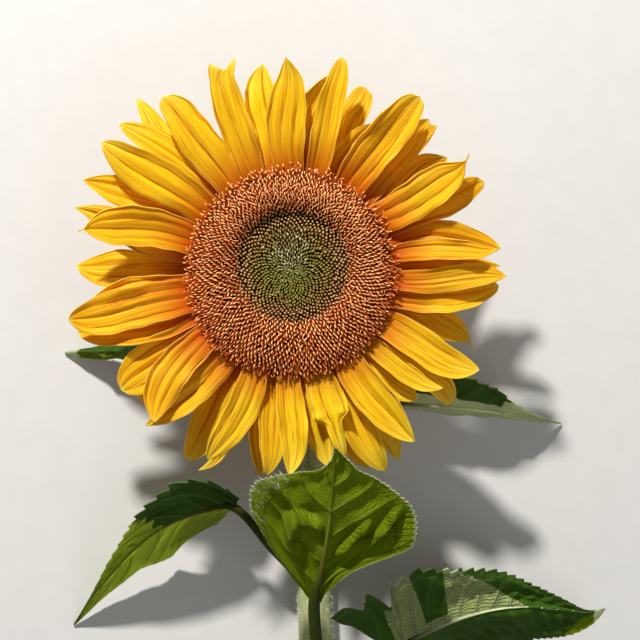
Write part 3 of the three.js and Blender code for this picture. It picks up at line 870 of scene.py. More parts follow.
def bed_material(colours):
    """Receptacle face between the florets: dark moist chaff, rough at about a millimetre."""
    material, node = new_material("floret_bed")
    chaff = node("TexNoise", {"Vector": node("TexCoord", [], "Object"), "Scale": every(0.833), "Detail": 3})
    colour = node("ValToRGB", [chaff], stops=[(0.4, darker(colours.bed, 0.55)), (0.65, colours.bed)])
    bump = node("Bump", {"Strength": 0.6, "Distance": 0.4 * MM, "Height": chaff})
    skin = node("BsdfPrincipled", {
        "Base Color": colour, "Roughness": 0.8, "Specular IOR Level": 0.1, "Normal": bump,
    })
    node("OutputMaterial", [skin])
    return material


# Stem

def stem_at(y):
    """Centre and radius of the stem's straight run at y."""
    share = (y - STEM_CUT_Y) / (-NECK_BEND - STEM_CUT_Y)
    radius = lerp(STEM_CUT_RADIUS, STEM_TOP_RADIUS, share)
    centre = np.array([lerp(STEM_CUT_X, STEM_BEND_X, share), y, radius * STEM_REST])
    return centre, radius


def stem_line():
    run = [stem_at(y) for y in np.linspace(STEM_CUT_Y, -NECK_BEND, STEM_STEPS)]
    centres = [centre for centre, _ in run]
    radii = [radius for _, radius in run]
    start = centres[-1]
    for share in np.arange(1, BEND_STEPS + 1) / BEND_STEPS:
        turn = math.pi / 2 * share
        x = start[0] * (1 - smoothstep(0, 1, share))
        y = NECK_BEND * (math.sin(turn) - 1)
        centres.append(np.array([x, y, start[2] + NECK_BEND * (1 - math.cos(turn))]))
        radii.append(lerp(STEM_TOP_RADIUS, NECK_RADIUS * 0.88, share ** 2))
    centres.append(np.array([0, 0, RECEPTACLE_FOOT + 0.6]))
    radii.append(NECK_RADIUS)
    return np.array(centres), np.array(radii)


def bristle_template():
    """A stiff hair, 1 mm long and standing on z = 0."""
    deselect()
    bpy.ops.mesh.primitive_cone_add(vertices=3, radius1=0.12 * MM, radius2=0.02 * MM, depth=MM,
                                    location=(0, 0, MM / 2))
    hair = named("bristle_template")
    edit()
    bpy.ops.mesh.bisect(plane_co=(0, 0, 0.55 * MM), plane_no=(0, 0, 1))
    bpy.ops.transform.translate(value=(0.06 * MM, 0, 0))
    bpy.ops.object.mode_set(mode="OBJECT")
    return settle(hair)


class SUNFLOWER_OT_stem(bpy.types.Operator):
    """Builds the stem, its cut end and its bristles"""
    bl_idname = "sunflower.stem"
    bl_label = "Stem"

    def execute(self, context):
        colours = context.scene.sunflower_colours
        sizes = context.scene.sunflower_sizes
        centres, radii = stem_line()
        stem = rolled("stem_body", centres, radii, 64, ribs=STEM_RIDGES, rib_depth=0.012)
        smooth(stem, 40)
        skin = stem_material(colours, "stem_skin", colours.stem_skin, colours.stem_shade, 0.4)
        finish_piece(stem, skin, "stem", "stem")
        rng = np.random.default_rng(SEEDS["stem"])
        count = sizes.bristles
        at = rng.uniform(0, len(centres) - 2, count)
        k = at.astype(int)
        share = (at - k)[:, None]
        centre = lerp(centres[k], centres[k + 1], share)
        forward = unit(centres[k + 1] - centres[k])
        turn = rng.uniform(-0.2, math.pi + 0.2, count)
        side = unit(np.cross(forward, [0, 0, 1.0]) + np.array([1e-6, 0, 0]))
        up = np.cross(side, forward)
        out = side * np.cos(turn)[:, None] + up * np.sin(turn)[:, None]
        foot = centre + out * (radii[k] * 0.99)[:, None]
        lean = unit(out + 0.35 * rng.normal(size=(count, 3)) * np.array([1, 1, 0.4]))
        length = sizes.bristle_length / MM * rng.uniform(0.45, 1.1, count)
        scale = np.stack([np.ones(count), np.ones(count), length], axis=-1)
        hairs = many("stem_bristles", bristle_template, foot, lean, rng.normal(size=(count, 3)), scale)
        finish_piece(hairs, plain_material("bristle", colours.bristle, 0.5), "stem", "stem")
        return {"FINISHED"}


# Calyx

def bract_sheet(name, root, length):
    """One bract: widest a quarter of the way along, then drawn out to a point."""
    sheet, u, v = unit_grid(name, 10, 20)
    share = np.interp(v, [0, 0.12, 0.28, 0.5, 0.75, 0.92, 1], [0.6, 0.86, 1, 0.8, 0.4, 0.13, 0.02])
    width = BRACT_HALF_WIDTH * share * (1 + 0.04 * np.sin(31 * v))
    along = root + length * v
    height = 0.8 * np.abs(u) ** 1.5 + 0.5 * np.cos(np.pi * u) * np.sin(np.pi * v) + 2.5 * v ** 3
    return sheet, np.stack([along, width * u, height], axis=-1)


class SUNFLOWER_OT_calyx(bpy.types.Operator):
    """Builds the receptacle and the two rows of bracts under the bloom"""
    bl_idname = "sunflower.calyx"
    bl_label = "Calyx"

    def execute(self, context):
        colours = context.scene.sunflower_colours
        green = stem_material(colours, "calyx_skin", colours.calyx, colours.calyx_streak, 0.3)
        body = turned("receptacle", RECEPTACLE, 96)
        smooth(body, 40)
        finish_piece(body, green, "calyx", "calyx")
        rng = np.random.default_rng(SEEDS["calyx"])
        copies = []
        for row in BRACT_ROWS:
            for k in range(BRACTS_PER_ROW):
                length = row["length"] * rng.uniform(0.9, 1.08)
                sheet, places = bract_sheet("bract", row["root"], length)
                pitch = math.radians(row["pitch"] + rng.uniform(-4, 5))
                turn = math.radians(360 * (k + row["turn"]) / BRACTS_PER_ROW + rng.uniform(-3, 3))
                out = places[:, 0] - row["root"]
                radius = row["root"] + out * math.cos(pitch) - places[:, 2] * math.sin(pitch)
                height = row["height"] + out * math.sin(pitch) + places[:, 2] * math.cos(pitch)
                put_points(sheet, np.stack([
                    radius * math.cos(turn) - places[:, 1] * math.sin(turn),
                    radius * math.sin(turn) + places[:, 1] * math.cos(turn),
                    height,
                ], axis=-1))
                copies.append(sheet)
        deselect()
        for copy in copies:
            copy.select_set(True)
        context.view_layer.objects.active = copies[0]
        bpy.ops.object.join()
        bracts = named("bracts")
        thicken(bracts, BRACT_THICKNESS * MM)
        smooth(bracts)
        finish_piece(bracts, green, "calyx", "calyx")
        return {"FINISHED"}


# Florets

def spiral(spread, inner, outer):
    """Places on the golden-angle spiral between two radii: number, radius, bearing. They stand closer
    together towards the middle."""
    number = np.arange(int((outer / spread) ** (1 / CROWDING)) + 1)
    radius = spread * (number + 0.5) ** CROWDING
    inside = (radius >= inner) & (radius < outer)
    return number[inside], radius[inside], (number * GOLDEN_ANGLE)[inside]


def off_centre(places):
    """Pushes what stands round the rim of the buds aside, as that rim isn't centred on the bloom's axis."""
    radius = np.linalg.norm(places[:, :2], axis=1)
    share = smoothstep(0, 32, radius) * smoothstep(60, 36, radius)
    return places + share[:, None] * np.array([*BUD_SHIFT, 0])


def floret_axes(radius, turn, rng, spread_degrees):
    out = np.stack([np.cos(turn), np.sin(turn), np.zeros_like(turn)], axis=-1)
    lean = np.radians(np.interp(radius, CREST["radius"], CREST["lean"]))
    axis = np.cos(lean)[:, None] * np.array([0, 0, 1.0]) + np.sin(lean)[:, None] * out
    axis = unit(axis + math.radians(spread_degrees) * rng.normal(size=axis.shape))
    top = out * radius[:, None]
    top[:, 2] = np.interp(radius, CREST["radius"], CREST["height"])
    return out, axis, off_centre(top)


def tube_template():
    """The corolla tube of an open floret, 5 mm long, its lip opening to five blunt corners."""
    deselect()
    bpy.ops.mesh.primitive_cone_add(vertices=5, radius1=0.5 * MM, radius2=1.15 * MM, depth=5 * MM,
                                    location=(0, 0, -2.5 * MM))
    tube = named("tube_template")
    edit("DESELECT")
    bpy.ops.object.mode_set(mode="OBJECT")
    for face in tube.data.polygons:
        face.select = face.normal.z > 0.9
    bpy.ops.object.mode_set(mode="EDIT")
    bpy.ops.mesh.inset(thickness=0.4 * MM, depth=-0.5 * MM)
    bpy.ops.object.mode_set(mode="OBJECT")
    return settle(tube)


def anther_template():
    """The rod of anthers that stands 3 mm out of an open floret."""
    deselect()
    bpy.ops.mesh.primitive_cone_add(vertices=5, radius1=0.5 * MM, radius2=0.42 * MM, depth=3.6 * MM,
                                    location=(0, 0, 1.4 * MM))
    rod = named("anther_template")
    return settle(rod)


def stigma_template():
    """One curled branch of a stigma, 1.5 mm long: it rises, bends over and thins to a tip."""
    deselect()
    bpy.ops.mesh.primitive_circle_add(vertices=4, radius=0.3 * MM, fill_type="NGON")
    branch = named("stigma_template")
    # Each step's way ahead and up in mm, and how much narrower it leaves the branch
    steps = [(0.16, 0.55, 1.05), (0.6, 0.45, 0.95), (0.7, -0.05, 0.45)]
    edit()
    centre = Vector((0, 0, 0))
    for ahead, up, narrower in steps:
        move = Vector((ahead, 0, up)) * MM
        centre = centre + move
        bpy.ops.mesh.extrude_region_move(TRANSFORM_OT_translate={"value": move})
        bpy.ops.transform.resize(value=(narrower, narrower, narrower), center_override=centre)
    bpy.ops.mesh.select_all(action="SELECT")
    bpy.ops.mesh.normals_make_consistent(inside=False)
    bpy.ops.object.mode_set(mode="OBJECT")
    return branch


def bud_template():
    """A closed floret: a blunt rod with a rounded cap, 3 mm tall, its top at z = 0."""
    deselect()
    bpy.ops.mesh.primitive_uv_sphere_add(segments=7, ring_count=6, radius=0.66 * MM)
    bud = named("bud_template")
    for vertex in bud.data.vertices:
        if vertex.co.z < -0.2 * MM:
            vertex.co.x *= 1.25
            vertex.co.y *= 1.25
            vertex.co.z *= 3
        vertex.co.z -= 0.66 * MM
    return bud


class SUNFLOWER_OT_buds(bpy.types.Operator):
    """Builds the unopened florets in the middle of the bloom, and the bed they stand on"""
    bl_idname = "sunflower.buds"
    bl_label = "Bud florets"

    def execute(self, context):
        colours = context.scene.sunflower_colours
        sizes = context.scene.sunflower_sizes
        bed = turned("floret_bed", FLORET_BED, 96, off_centre)
        smooth(bed, 40)
        finish_piece(bed, bed_material(colours), "bud_florets", "open_floret_ring", "bud_floret_centre")
        rng = np.random.default_rng(SEEDS["buds"])
        bands = [
            ("bud_florets_outer", 25.5, BUD_RADIUS, colours.bud_cap, (0.88, 0.88, 1.0)),
            ("bud_florets_middle", 17, 25.5, colours.bud_olive, (1.15, 0.76, 1.0)),
            ("bud_florets_inner", 0, 17, colours.bud_green, (1.5, 0.7, 1.0)),
        ]
        for name, inner, outer, colour, shape in bands:
            _, radius, turn = spiral(sizes.floret_spread / MM, inner, outer)
            radius = radius + rng.uniform(-0.3, 0.3, len(radius))
            out, axis, top = floret_axes(radius, turn, rng, 12)
            scale = np.array(shape) * rng.uniform(0.9, 1.08, (len(radius), 1))
            top[:, 2] += rng.uniform(-0.35, 0.35, len(radius))
            buds = many(name, bud_template, top, axis, out, scale)
            finish_piece(buds, plain_material(name, colour, 0.55), "bud_florets", "bud_floret_centre")
        _, radius, turn = spiral(sizes.floret_spread / MM, 0, CHAFF_RADIUS)
        radius = radius + 0.9
        places = np.stack([radius * np.cos(turn), radius * np.sin(turn)], axis=-1)
        # Painted highlight: chaff tips are kept mostly near one place beside the axis, where a highlight lies
        away = np.linalg.norm(places - np.array(CHAFF_HIGHLIGHT_MIDDLE), axis=1)
        kept = rng.uniform(0, 1, len(radius)) < 1.3 - away / 14
        radius, turn = radius[kept], turn[kept]
        out, axis, top = floret_axes(radius, turn, rng, 16)
        scale = rng.uniform(0.75, 1.2, (len(radius), 1)) * np.array([3.2, 3.2, 2.4])
        tips = many("chaff_tips", bristle_template, top - axis, axis, out, scale)
        finish_piece(tips, plain_material("chaff", colours.chaff, 0.5), "bud_florets", "bud_floret_centre")
        return {"FINISHED"}


class SUNFLOWER_OT_florets(bpy.types.Operator):
    """Builds the ring of open florets: tubes, and the curled stigmas that stand out of them"""
    bl_idname = "sunflower.florets"
    bl_label = "Open florets"

    def execute(self, context):
        colours = context.scene.sunflower_colours
        sizes = context.scene.sunflower_sizes
        rng = np.random.default_rng(SEEDS["florets"])
        _, radius, turn = spiral(sizes.floret_spread / MM, BUD_RADIUS, FLORET_RADIUS + 1.6)
        out, axis, top = floret_axes(radius, turn, rng, 11)
        count = len(radius)
        loose = 0.3 * smoothstep(56, 62, radius)[:, None]
        axis = unit(axis + loose * rng.normal(size=axis.shape))
        top = top + axis * rng.uniform(-0.6, 0.4, (count, 1)) - axis * 2.6
        around = unit(rng.normal(size=(count, 3)))
        size = rng.uniform(0.9, 1.1, (count, 1)) * np.ones(3)
        size[:, 2] *= 1 + rng.uniform(0.3, 1.1, count) * smoothstep(55, 62, radius)
        kinds = [
            ("floret_tubes", tube_template, top - axis * 0.6, colours.floret_tube),
            ("anther_rods", anther_template, top, colours.anther),
        ]
        for name, template, foot, colour in kinds:
            rods = many(name, template, foot, axis, around, size)
            finish_piece(rods, plain_material(name, colour, 0.6), "open_florets", "open_floret_ring")
        facing = unit(out + 0.35 * rng.normal(size=(count, 3)))
        stretch = rng.uniform(0.8, 1.3, (count, 1)) * np.ones(3)
        foot = top + axis * (2.9 * size[:, 2:])
        curls = many("stigmas", stigma_template, np.vstack([foot, foot]), np.vstack([axis, axis]),
                     np.vstack([facing, -facing]), np.vstack([stretch, 0.5 * stretch]))
        finish_piece(curls, plain_material("stigma", colours.stigma, 0.5),
                     "open_florets", "open_floret_ring")
        return {"FINISHED"}


# Petals

def petal_points(u, v, petal, tier, tip, number, sizes, rng):
    """Where the points of a petal's sheet go, about the bloom's axis, and its folds: which fold each point
    is at, whole at a crease, and how deep the folds are there."""
    root_bearing, tip_bearing, reach, width = petal
    root = bearing(root_bearing)
    start = root * (FLORET_RADIUS - 1.5)
    end = bearing(tip_bearing) * reach
    length = np.linalg.norm(end - start)
    bend = start + root * length / 2
    t = v[:, None]
    centre = (1 - t) ** 2 * start + 2 * t * (1 - t) * bend + t ** 2 * end
    ahead = unit(2 * (1 - t) * (bend - start) + 2 * t * (end - bend))
    sideways = np.stack([ahead[:, 1], -ahead[:, 0], np.zeros(len(u))], axis=-1)
    pitch = math.radians(tier["pitch"] + 1.5 * math.sin(2.4 * number))
    droop = PETAL_DROOP + 1.5 * math.cos(1.7 * number)
    height = tier["height"] + length * math.sin(pitch) * v - droop * v ** 3
    near_tip = np.maximum(0, (v - PETAL_TIP_FROM) / (1 - PETAL_TIP_FROM)) ** 2

    swell = lerp(PETAL_ROOT_SHARE, 1, np.sin(np.pi / 2 * np.minimum(1, v / PETAL_FULL)))
    past = np.maximum(0, (v - PETAL_FULL) / (1 - PETAL_FULL)) / (1 - tip.get("thin", 0) * 2)
    narrowing = np.maximum(0, 1 - past ** rng.uniform(2.1, 3.3))
    narrowing = narrowing ** tip.get("blunt", rng.uniform(*PETAL_BLUNTNESS))
    uneven = 1 + 0.05 * np.sin(rng.uniform(5, 9) * v + rng.uniform(0, 6) + u) \
        + 0.025 * np.sin(rng.uniform(18, 30) * v + rng.uniform(0, 6) + 2 * u)
    end_width = tip.get("end", 0.03)
    share = lerp(end_width * smoothstep(0.4, 1, v), 1, swell * narrowing * uneven)
    share = np.maximum(share, 0.03)
    torn = smoothstep(0, 0.09, v - tip.get("torn", 1))
    share = share * (1 - 0.55 * torn)
    half = 1.1 * width / 2 * share
    fork = tip.get("fork", 0) * length * (1 - np.abs(u)) * near_tip

    env = np.sin(np.pi * np.clip(v, 0, 1)) ** 0.6
    cup = rng.uniform(0.4, 1.8) * PETAL_CUP * width * env * u ** 2
    keel = rng.uniform(-0.1, 0.24) * width * env * np.abs(u - rng.uniform(-0.3, 0.3))
    folds = rng.choice(PETAL_FOLDS)
    phase = rng.uniform(-0.3, 0.3)
    wander = 0.12 * np.sin(rng.uniform(3, 6) * v + rng.uniform(0, 6))
    fold = folds * (u + 1) / 2 + phase + wander
    wave = np.abs(np.sin(np.pi * fold))
    depth = sizes.petal_pleat / MM * (width / 20) * rng.uniform(0.7, 1.4) * 2.5 / folds
    pleat = depth * env * wave ** 0.6
    depth_here = env * rng.uniform(0.6, 1.0)
    fine = 0.22 * np.cos(2 * np.pi * 5.5 * (u + 1) / 2 + rng.uniform(0, 6)) * env
    waves = rng.uniform(*PETAL_WAVES)
    ruffle = sizes.petal_ruffle / MM * env * np.sin(2 * np.pi * waves * v + rng.uniform(0, 6)) \
        * np.sign(u) * np.abs(u) ** 2.5
    twist = math.radians(rng.uniform(*PETAL_TWISTS)) * v
    lift = tip.get("lift", rng.uniform(*PETAL_LIFTS)) * near_tip
    curl = 5 * np.exp(-((v - tip.get("torn", 2) + 0.01) / 0.035) ** 2) * np.abs(u) ** 1.5
    height = height + curl + cup + keel + pleat + fine + ruffle + u * half * np.tan(twist) + lift
    flare = tip.get("flare", 0) * u * np.maximum(0, (v - PETAL_FLARE_FROM) / (1 - PETAL_FLARE_FROM))
    sway = rng.uniform(-2, 2) * np.sin(np.pi * v) + rng.uniform(-1.5, 1.5) * np.sin(2 * np.pi * v)
    hook = tip.get("hook", rng.uniform(*PETAL_HOOKS))
    aside = u * half * np.cos(twist) + flare + sway + hook * near_tip
    places = centre + sideways * aside[:, None] - ahead * fork[:, None]
    places[:, 2] = height
    return places, {"fold": fold, "depth": depth_here}


class SUNFLOWER_OT_petals(bpy.types.Operator):
    """Builds the fifty petals, each in its own place in its tier"""
    bl_idname = "sunflower.petals"
    bl_label = "Petals"

    def execute(self, context):
        colours = context.scene.sunflower_colours
        sizes = context.scene.sunflower_sizes
        material = petal_material(colours)
        rng = np.random.default_rng(SEEDS["petals"])
        for tier_name, tier in TIERS.items():
            for k, petal in enumerate(tier["petals"]):
                name = f"petal_{tier_name}_{k + 1:02d}"
                sheet, u, v = unit_grid("ray_" + name, PETAL_ACROSS, PETAL_ALONG)
                tip = TIPS.get(f"{tier_name}_{k + 1:02d}", {})
                places, marks = petal_points(u, v, petal, tier, tip, k + 1, sizes, rng)
                put_points(sheet, places)
                for mark, values in marks.items():
                    put_values(sheet, mark, values)
                put_values(sheet, "tone", rng.uniform(0, 1))
                # Painted shade: petals across the light are made warmer, and a random share is added on top
                across_light = 0.5 + 0.5 * math.cos(2 * math.radians(petal[0] - PAINTED_SHADE_BEARING))
                put_values(sheet, "warmth", 0.7 * across_light + rng.uniform(0, 0.3))
                thicken(sheet, sizes.petal_thickness)
                smooth(sheet, 60)
                finish_piece(sheet, material, "petal", name)
        return {"FINISHED"}


# Leaves

def leaf_reach(v, width, outline):
    """A leaf half's reach from the midrib in mm: through its knots where it has them, or by its shape."""
    if isinstance(outline[0], list):
        knots = curve_through(outline, np.linspace(0, 1, 400))
        return np.maximum(0.7, np.interp(v, knots[:, 0], knots[:, 1]))
    foot, rise, broad, fall, neck = outline
    risen = foot + (1 - foot) * np.sin(np.pi / 2 * np.minimum(1, v / rise)) ** neck
    past = np.maximum(0, (v - broad) / (1 - broad))
    return width * np.maximum(0.012, risen * (1 - past) ** fall)


def bezier(leaf, v):
    base, bow, tip = (np.array(leaf[key], float) for key in ("base", "bow", "tip"))
    t = np.asarray(v, float)[:, None]
    centre = (1 - t) ** 2 * base + 2 * t * (1 - t) * bow + t ** 2 * tip
    centre += np.array(leaf["hook"]) * np.maximum(0, (t - 0.85) / 0.15) ** 2
    ahead = unit(2 * (1 - t) * (bow - base) + 2 * t * (tip - bow))
    return centre, ahead


def turned_about(vector, axes, angles):
    """A vector turned about each axis by each angle."""
    cos = np.cos(angles)[:, None]
    sin = np.sin(angles)[:, None]
    along = np.sum(axes * vector, axis=1, keepdims=True)
    return vector * cos + np.cross(axes, vector) * sin + axes * along * (1 - cos)


def fold_rise(across, along, fold):
    """The rise of one fold, which may be steeper on one flank than on the other."""
    from_across, from_along, to_across, to_along, height, near, far = fold
    run = np.array([to_across - from_across, (to_along - from_along) * 2])
    length = np.linalg.norm(run)
    run = run / length
    x = across - from_across
    y = (along - from_along) * 2
    beside = x * run[1] - y * run[0]
    at = (x * run[0] + y * run[1]) / length
    ends = smoothstep(-0.15, 0.25, at) * smoothstep(1.15, 0.75, at)
    flank = np.where(beside < 0, near, far)
    return height * ends * np.exp(-(beside / flank) ** 2)


def swells(across, along, rng, count, finest):
    """Uneven ground between -1 and 1 or so, as a sum of waves in all directions."""
    total = np.zeros_like(across)
    for k in range(count):
        turn = rng.uniform(0, math.pi)
        scale = finest * lerp(0.35, 1, k / count)
        place = across * math.cos(turn) + along * 2 * math.sin(turn)
        total += np.sin(scale * place + rng.uniform(0, 6))
    return total / math.sqrt(count)


def leaf_points(u, v, leaf, sizes, rng):
    """Where the points of a blade's sheet go, and its marks: how near the midrib each is, its place between
    the side veins, its way out along them in mm, and how deep in a furrow it lies."""
    centre, ahead = bezier(leaf, v)
    places = np.empty_like(centre)
    left_sweep, right_sweep, tip_sweep, easing = leaf["sweep"]
    vein = np.radians(lerp(np.where(u < 0, left_sweep, right_sweep), tip_sweep, v ** easing))
    number, *depths = leaf["teeth"]
    tooth = number * v % 1
    veins_at = leaf["veins"] * v ** 0.9 - leaf["slant"] * np.abs(u) ** 1.6
    veins_at += 0.12 * np.sin(7 * v + 3 * u) + 5
    from_vein = np.abs((veins_at % 1) - 0.5) * 2
    near_side = smoothstep(0.8, 1.0, from_vein) * (1 - 0.6 * np.abs(u))
    near_midrib = smoothstep(0.045, 0.0, np.abs(u))
    near_basal = smoothstep(0.035, 0.0, np.abs(np.abs(u) - 0.93 + 0.45 * v)) * smoothstep(0.62, 0.3, v)
    outward = np.zeros_like(u)
    ground = 0.75 * swells(u, v, rng, 10, 26) + 1.3 * swells(u, v, rng, 6, 9)
    ground = ground * (1 - leaf["evenness"])
    folded = sum(fold_rise(u, v, fold) for fold in leaf["folds"]) + ground * smoothstep(0, 0.15, np.abs(u))
    for k, side in enumerate(("left", "right")):
        lean, width, lift, outline = leaf[side]
        here = (u < 0) if k == 0 else (u >= 0)
        f = ahead[here]
        turn = np.radians(leaf["twist"]) * v[here]
        out = turned_about(np.array(lean, float), f, turn)
        out = unit(out - f * np.sum(out * f, axis=1, keepdims=True))
        raised = np.cross(f, out) * (1 if k else -1)
        s = np.abs(u[here])
        notch = depths[k] / width * (1 - tooth[here]) * smoothstep(0.55, 1.0, s)
        wavy = 1 + 0.03 * np.sin(17 * v[here] + k) * s
        reach = leaf_reach(v[here], width, outline) * (1 - notch) * wavy
        for at, wide, deep in leaf["notches"]:
            reach = reach * (1 - deep * np.exp(-((v[here] - at) / wide) ** 2) * (1 - k))
        outward[here] = reach * s
        swollen = (1 - from_vein[here] ** 2) * np.sin(np.pi * np.minimum(1, s * 1.15)) ** 0.8
        rib = -0.5 * near_midrib[here] + 0.4 * leaf["ribs"] * near_side[here]
        room = np.minimum(1, reach / 15)
        rise_up = lift * reach * s ** 2 + (sizes.leaf_pucker / MM * swollen + rib + folded[here]) * room
        places[here] = centre[here] + out * (reach * s * np.sin(vein[here]))[:, None] \
            + f * (reach * s * np.cos(vein[here]))[:, None] + raised * rise_up[:, None]
    places[:, 2] = np.maximum(places[:, 2], LEAF_LOWEST)
    return places, {
        "vein": np.maximum(near_midrib, near_basal), "phase": veins_at, "out": outward,
        # How deep in a furrow each point lies, where the material paints shade
        "furrow": smoothstep(1, -6, folded),
    }


def leaf_stalk(name, leaf):
    """A stalk from inside the stem to the blade, running on as its midrib and thinning to the tip."""
    y, side = leaf["node"]
    centre, radius = stem_at(y)
    turn = math.radians(side)
    out = np.array([math.cos(turn), 0, math.sin(turn)])
    foot = centre + out * (radius * 0.45)
    midrib, _ = bezier(leaf, np.array([0.2, 0.4, 0.6, 0.85]))
    share = np.linspace(0, 1, 70)
    centres = curve_through([foot, leaf["rise"], leaf["base"], *midrib], share)
    at_foot, at_base = leaf["stalk"]
    radii = np.interp(share, [0, 0.05, 0.333, 0.4, 0.5, 0.667, 0.833, 1], [
        at_foot * 1.4, at_foot, at_base, at_base * 0.7, at_base * 0.5, at_base * 0.33, at_base * 0.22, 0.3,
    ])
    return rolled(name, centres, radii, 20, ribs=5, rib_depth=0.03)


def leaf_materials(colours):
    """The finishes that the leaves' halves show towards the front. The upper side's dark finish is also
    painted where shade falls, and the sunlit, backlit and pale finishes are painted light, brighter than the
    leaf itself.
    """
    olive, pale, dark = colours.vein_olive, colours.vein_pale, colours.vein_upper
    rim, glow = colours.leaf_rim_highlight, colours.leaf_glow
    # Each finish: blade, veins, rim, which is a painted highlight on most, light let through and its share,
    # height of the finer veins in mm, whether it wrinkles, and how dark the shade painted in its furrows and
    # net and beside its veins is
    kinds = {
        "sunlit": (colours.leaf_sunlit, olive, rim, glow, 0.5, 1.26, True, 0.5),
        "backlit": (colours.leaf_backlit, olive, rim, colours.leaf_backlit, 0.66, 1.26, True, 0.42),
        "upper": (colours.leaf_upper, dark, dark, glow, 0.1, 0.54, True, 0.55),
        "under": (colours.leaf_under, pale, rim, colours.leaf_pale_lit, 0.25, 2.16, False, 0.36),
        "pale": (colours.leaf_pale_lit, pale, rim, colours.leaf_pale_lit, 0.62, 0.45, False, 0.7),
    }
    return {name: leaf_material("leaf_" + name, *looks) for name, looks in kinds.items()}


class SUNFLOWER_OT_leaves(bpy.types.Operator):
    """Builds the five leaves: a toothed blade with raised veins, and its stalk"""
    bl_idname = "sunflower.leaves"
    bl_label = "Leaves"

    def execute(self, context):
        colours = context.scene.sunflower_colours
        sizes = context.scene.sunflower_sizes
        finishes = leaf_materials(colours)
        rng = np.random.default_rng(SEEDS["leaves"])
        olive_stalk = stalk_material("olive_stalk", colours.stalk, colours.vein_olive)
        pale_stalk = stalk_material("pale_stalk", colours.stalk, colours.vein_pale)
        for name, own in LEAVES.items():
            leaf = {**PLAIN_LEAF, **own}
            sheet, u, v = unit_grid(name + "_blade", LEAF_ACROSS, LEAF_ALONG)
            places, marks = leaf_points(u, v, leaf, sizes, rng)
            put_points(sheet, places)
            for mark, values in marks.items():
                put_values(sheet, mark, values)
            order = list(finishes)
            for finish in order:
                sheet.data.materials.append(finishes[finish])
            halves = [[low, low + 1, 0, 1, 0, leaf["finish"][low + 1]] for low in (-1, 0)]
            for face in sheet.data.polygons:
                across, along = (np.mean(values[list(face.vertices)]) for values in (u, v))
                along = along * (1 + leaf["wander"] * math.sin(23 * across))
                for low, high, start, end, skew, finish in [*halves, *leaf["patches"]]:
                    if low <= across <= high and start <= along + skew * across <= end:
                        face.material_index = order.index(finish)
            thicken(sheet, sizes.leaf_thickness)
            smooth(sheet, 70)
            finish_piece(sheet, None, "leaf", name)
            if "hairs" in leaf:
                low, high, start, end = leaf["hairs"]
                inside = np.flatnonzero((u > low) & (u < high) & (v > start) & (v < end))
                chosen = rng.choice(inside, LEAF_HAIRS, replace=False)
                _, ahead = bezier(leaf, v[chosen])
                lean = unit(ahead * 0.4 + np.array([-0.7, 0.5, 0.5]) + 0.35 * rng.normal(size=ahead.shape))
                scale = rng.uniform(0.7, 1.2, (LEAF_HAIRS, 1)) * np.array(LEAF_HAIR_SIZE)
                hairs = many(name + "_hairs", bristle_template, places[chosen], lean, ahead, scale)
                finish_piece(hairs, plain_material("leaf_hair", colours.bristle, 0.5), "leaf", name)
            tube = leaf_stalk(name + "_stalk", leaf)
            smooth(tube, 50)
            finish_piece(tube, pale_stalk if leaf["ribs"] > 0 else olive_stalk, "leaf", name)
        return {"FINISHED"}


# Stage

def area_light(name, place, aim, size, power, colour):
    deselect()
    bpy.ops.object.light_add(type="AREA", location=place)
    light = named(name)
    light.data.shape = "DISK"
    light.data.size = size
    light.data.energy = power
    light.data.color = colour
    light.rotation_euler = (Vector(aim) - Vector(place)).to_track_quat("-Z", "Y").to_euler()


def floor_material(colour):
    """Matt painted board: even and pale, with 17 mm patches in the paint that are too faint to notice."""
    material, node = new_material("pale_floor")
    grain = node("TexNoise", {"Vector": node("TexCoord", [], "Object"), "Scale": every(16.67)})
    even = node("ValToRGB", [grain], stops=[(0.3, darker(colour, 0.97)), (0.7, colour)])
    skin = node("BsdfPrincipled", {"Base Color": even, "Roughness": 0.85})
    node("OutputMaterial", [skin])
    return material


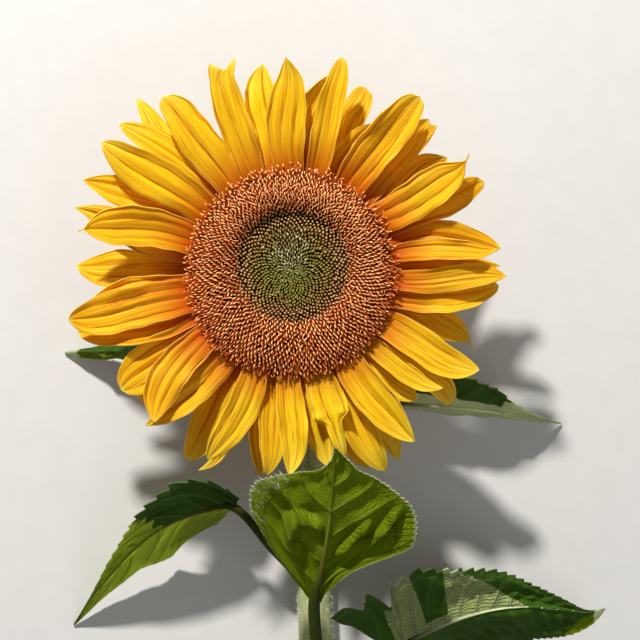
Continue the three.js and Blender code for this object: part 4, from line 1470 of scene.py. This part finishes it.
class SUNFLOWER_OT_stage(bpy.types.Operator):
    """Sets the pale floor, the soft lights and the camera"""
    bl_idname = "sunflower.stage"
    bl_label = "Stage"

    def execute(self, context):
        stage = context.scene.sunflower_stage
        deselect()
        bpy.ops.mesh.primitive_plane_add(size=FLOOR_SIZE, location=(0, 0, 0))
        floor = named("floor")
        floor.data.materials.append(floor_material(stage.floor))
        middle = Vector(to_frame(LIGHTS_AIM))
        toward = Vector(KEY_DIRECTION).normalized()
        area_light("key_light", middle + toward * KEY_DISTANCE, middle, KEY_SIZE, stage.key_power,
                   (1, 0.98, 0.95))
        area_light("fill_light", middle + Vector(FILL_FROM_MIDDLE), middle, FILL_SIZE, stage.fill_power,
                   (0.92, 0.96, 1))
        world = bpy.data.worlds.new("soft_room")
        context.scene.world = world
        world.use_nodes = True
        background = world.node_tree.nodes["Background"]
        background.inputs["Color"].default_value = linear("eef1f6")
        background.inputs["Strength"].default_value = ROOM_LIGHT
        camera_data = bpy.data.cameras.new("camera")
        camera_data.lens = CAMERA_LENS
        camera_data.sensor_width = CAMERA_SENSOR
        camera_data.clip_end = 20
        camera = bpy.data.objects.new("camera", camera_data)
        context.scene.collection.objects.link(camera)
        camera.location = to_frame([*CAMERA_FROM_AXIS, CAMERA_HEIGHT])
        context.scene.camera = camera
        context.scene.view_settings.view_transform = "Standard"
        return {"FINISHED"}


class SUNFLOWER_PT_panel(bpy.types.Panel):
    """Shows the sunflower's settings and the buttons that build its pieces in the sidebar"""
    bl_idname = "SUNFLOWER_PT_panel"
    bl_label = "Cut Sunflower"
    bl_space_type = "VIEW_3D"
    bl_region_type = "UI"
    bl_category = "Sunflower"

    def draw(self, context):
        for group in ("sunflower_sizes", "sunflower_colours", "sunflower_stage"):
            settings = getattr(context.scene, group)
            box = self.layout.box()
            for key in settings.bl_rna.properties.keys():
                if key not in ("rna_type", "name"):
                    box.prop(settings, key)
        for operator in OPERATORS:
            self.layout.operator(operator.bl_idname)


OPERATORS = [
    SUNFLOWER_OT_stem,
    SUNFLOWER_OT_calyx,
    SUNFLOWER_OT_buds,
    SUNFLOWER_OT_florets,
    SUNFLOWER_OT_petals,
    SUNFLOWER_OT_leaves,
    SUNFLOWER_OT_stage,
]
CLASSES = [SunflowerSizes, SunflowerColours, SunflowerStage, *OPERATORS, SUNFLOWER_PT_panel]


def register():
    for kind in CLASSES:
        bpy.utils.register_class(kind)
    bpy.types.Scene.sunflower_sizes = PointerProperty(type=SunflowerSizes)
    bpy.types.Scene.sunflower_colours = PointerProperty(type=SunflowerColours)
    bpy.types.Scene.sunflower_stage = PointerProperty(type=SunflowerStage)


def unregister():
    del bpy.types.Scene.sunflower_stage
    del bpy.types.Scene.sunflower_colours
    del bpy.types.Scene.sunflower_sizes
    for kind in reversed(CLASSES):
        bpy.utils.unregister_class(kind)


def main():
    register()
    bpy.ops.sunflower.stem()
    bpy.ops.sunflower.calyx()
    bpy.ops.sunflower.buds()
    bpy.ops.sunflower.florets()
    bpy.ops.sunflower.petals()
    bpy.ops.sunflower.leaves()
    bpy.ops.sunflower.stage()


if __name__ == "__main__":
    main()
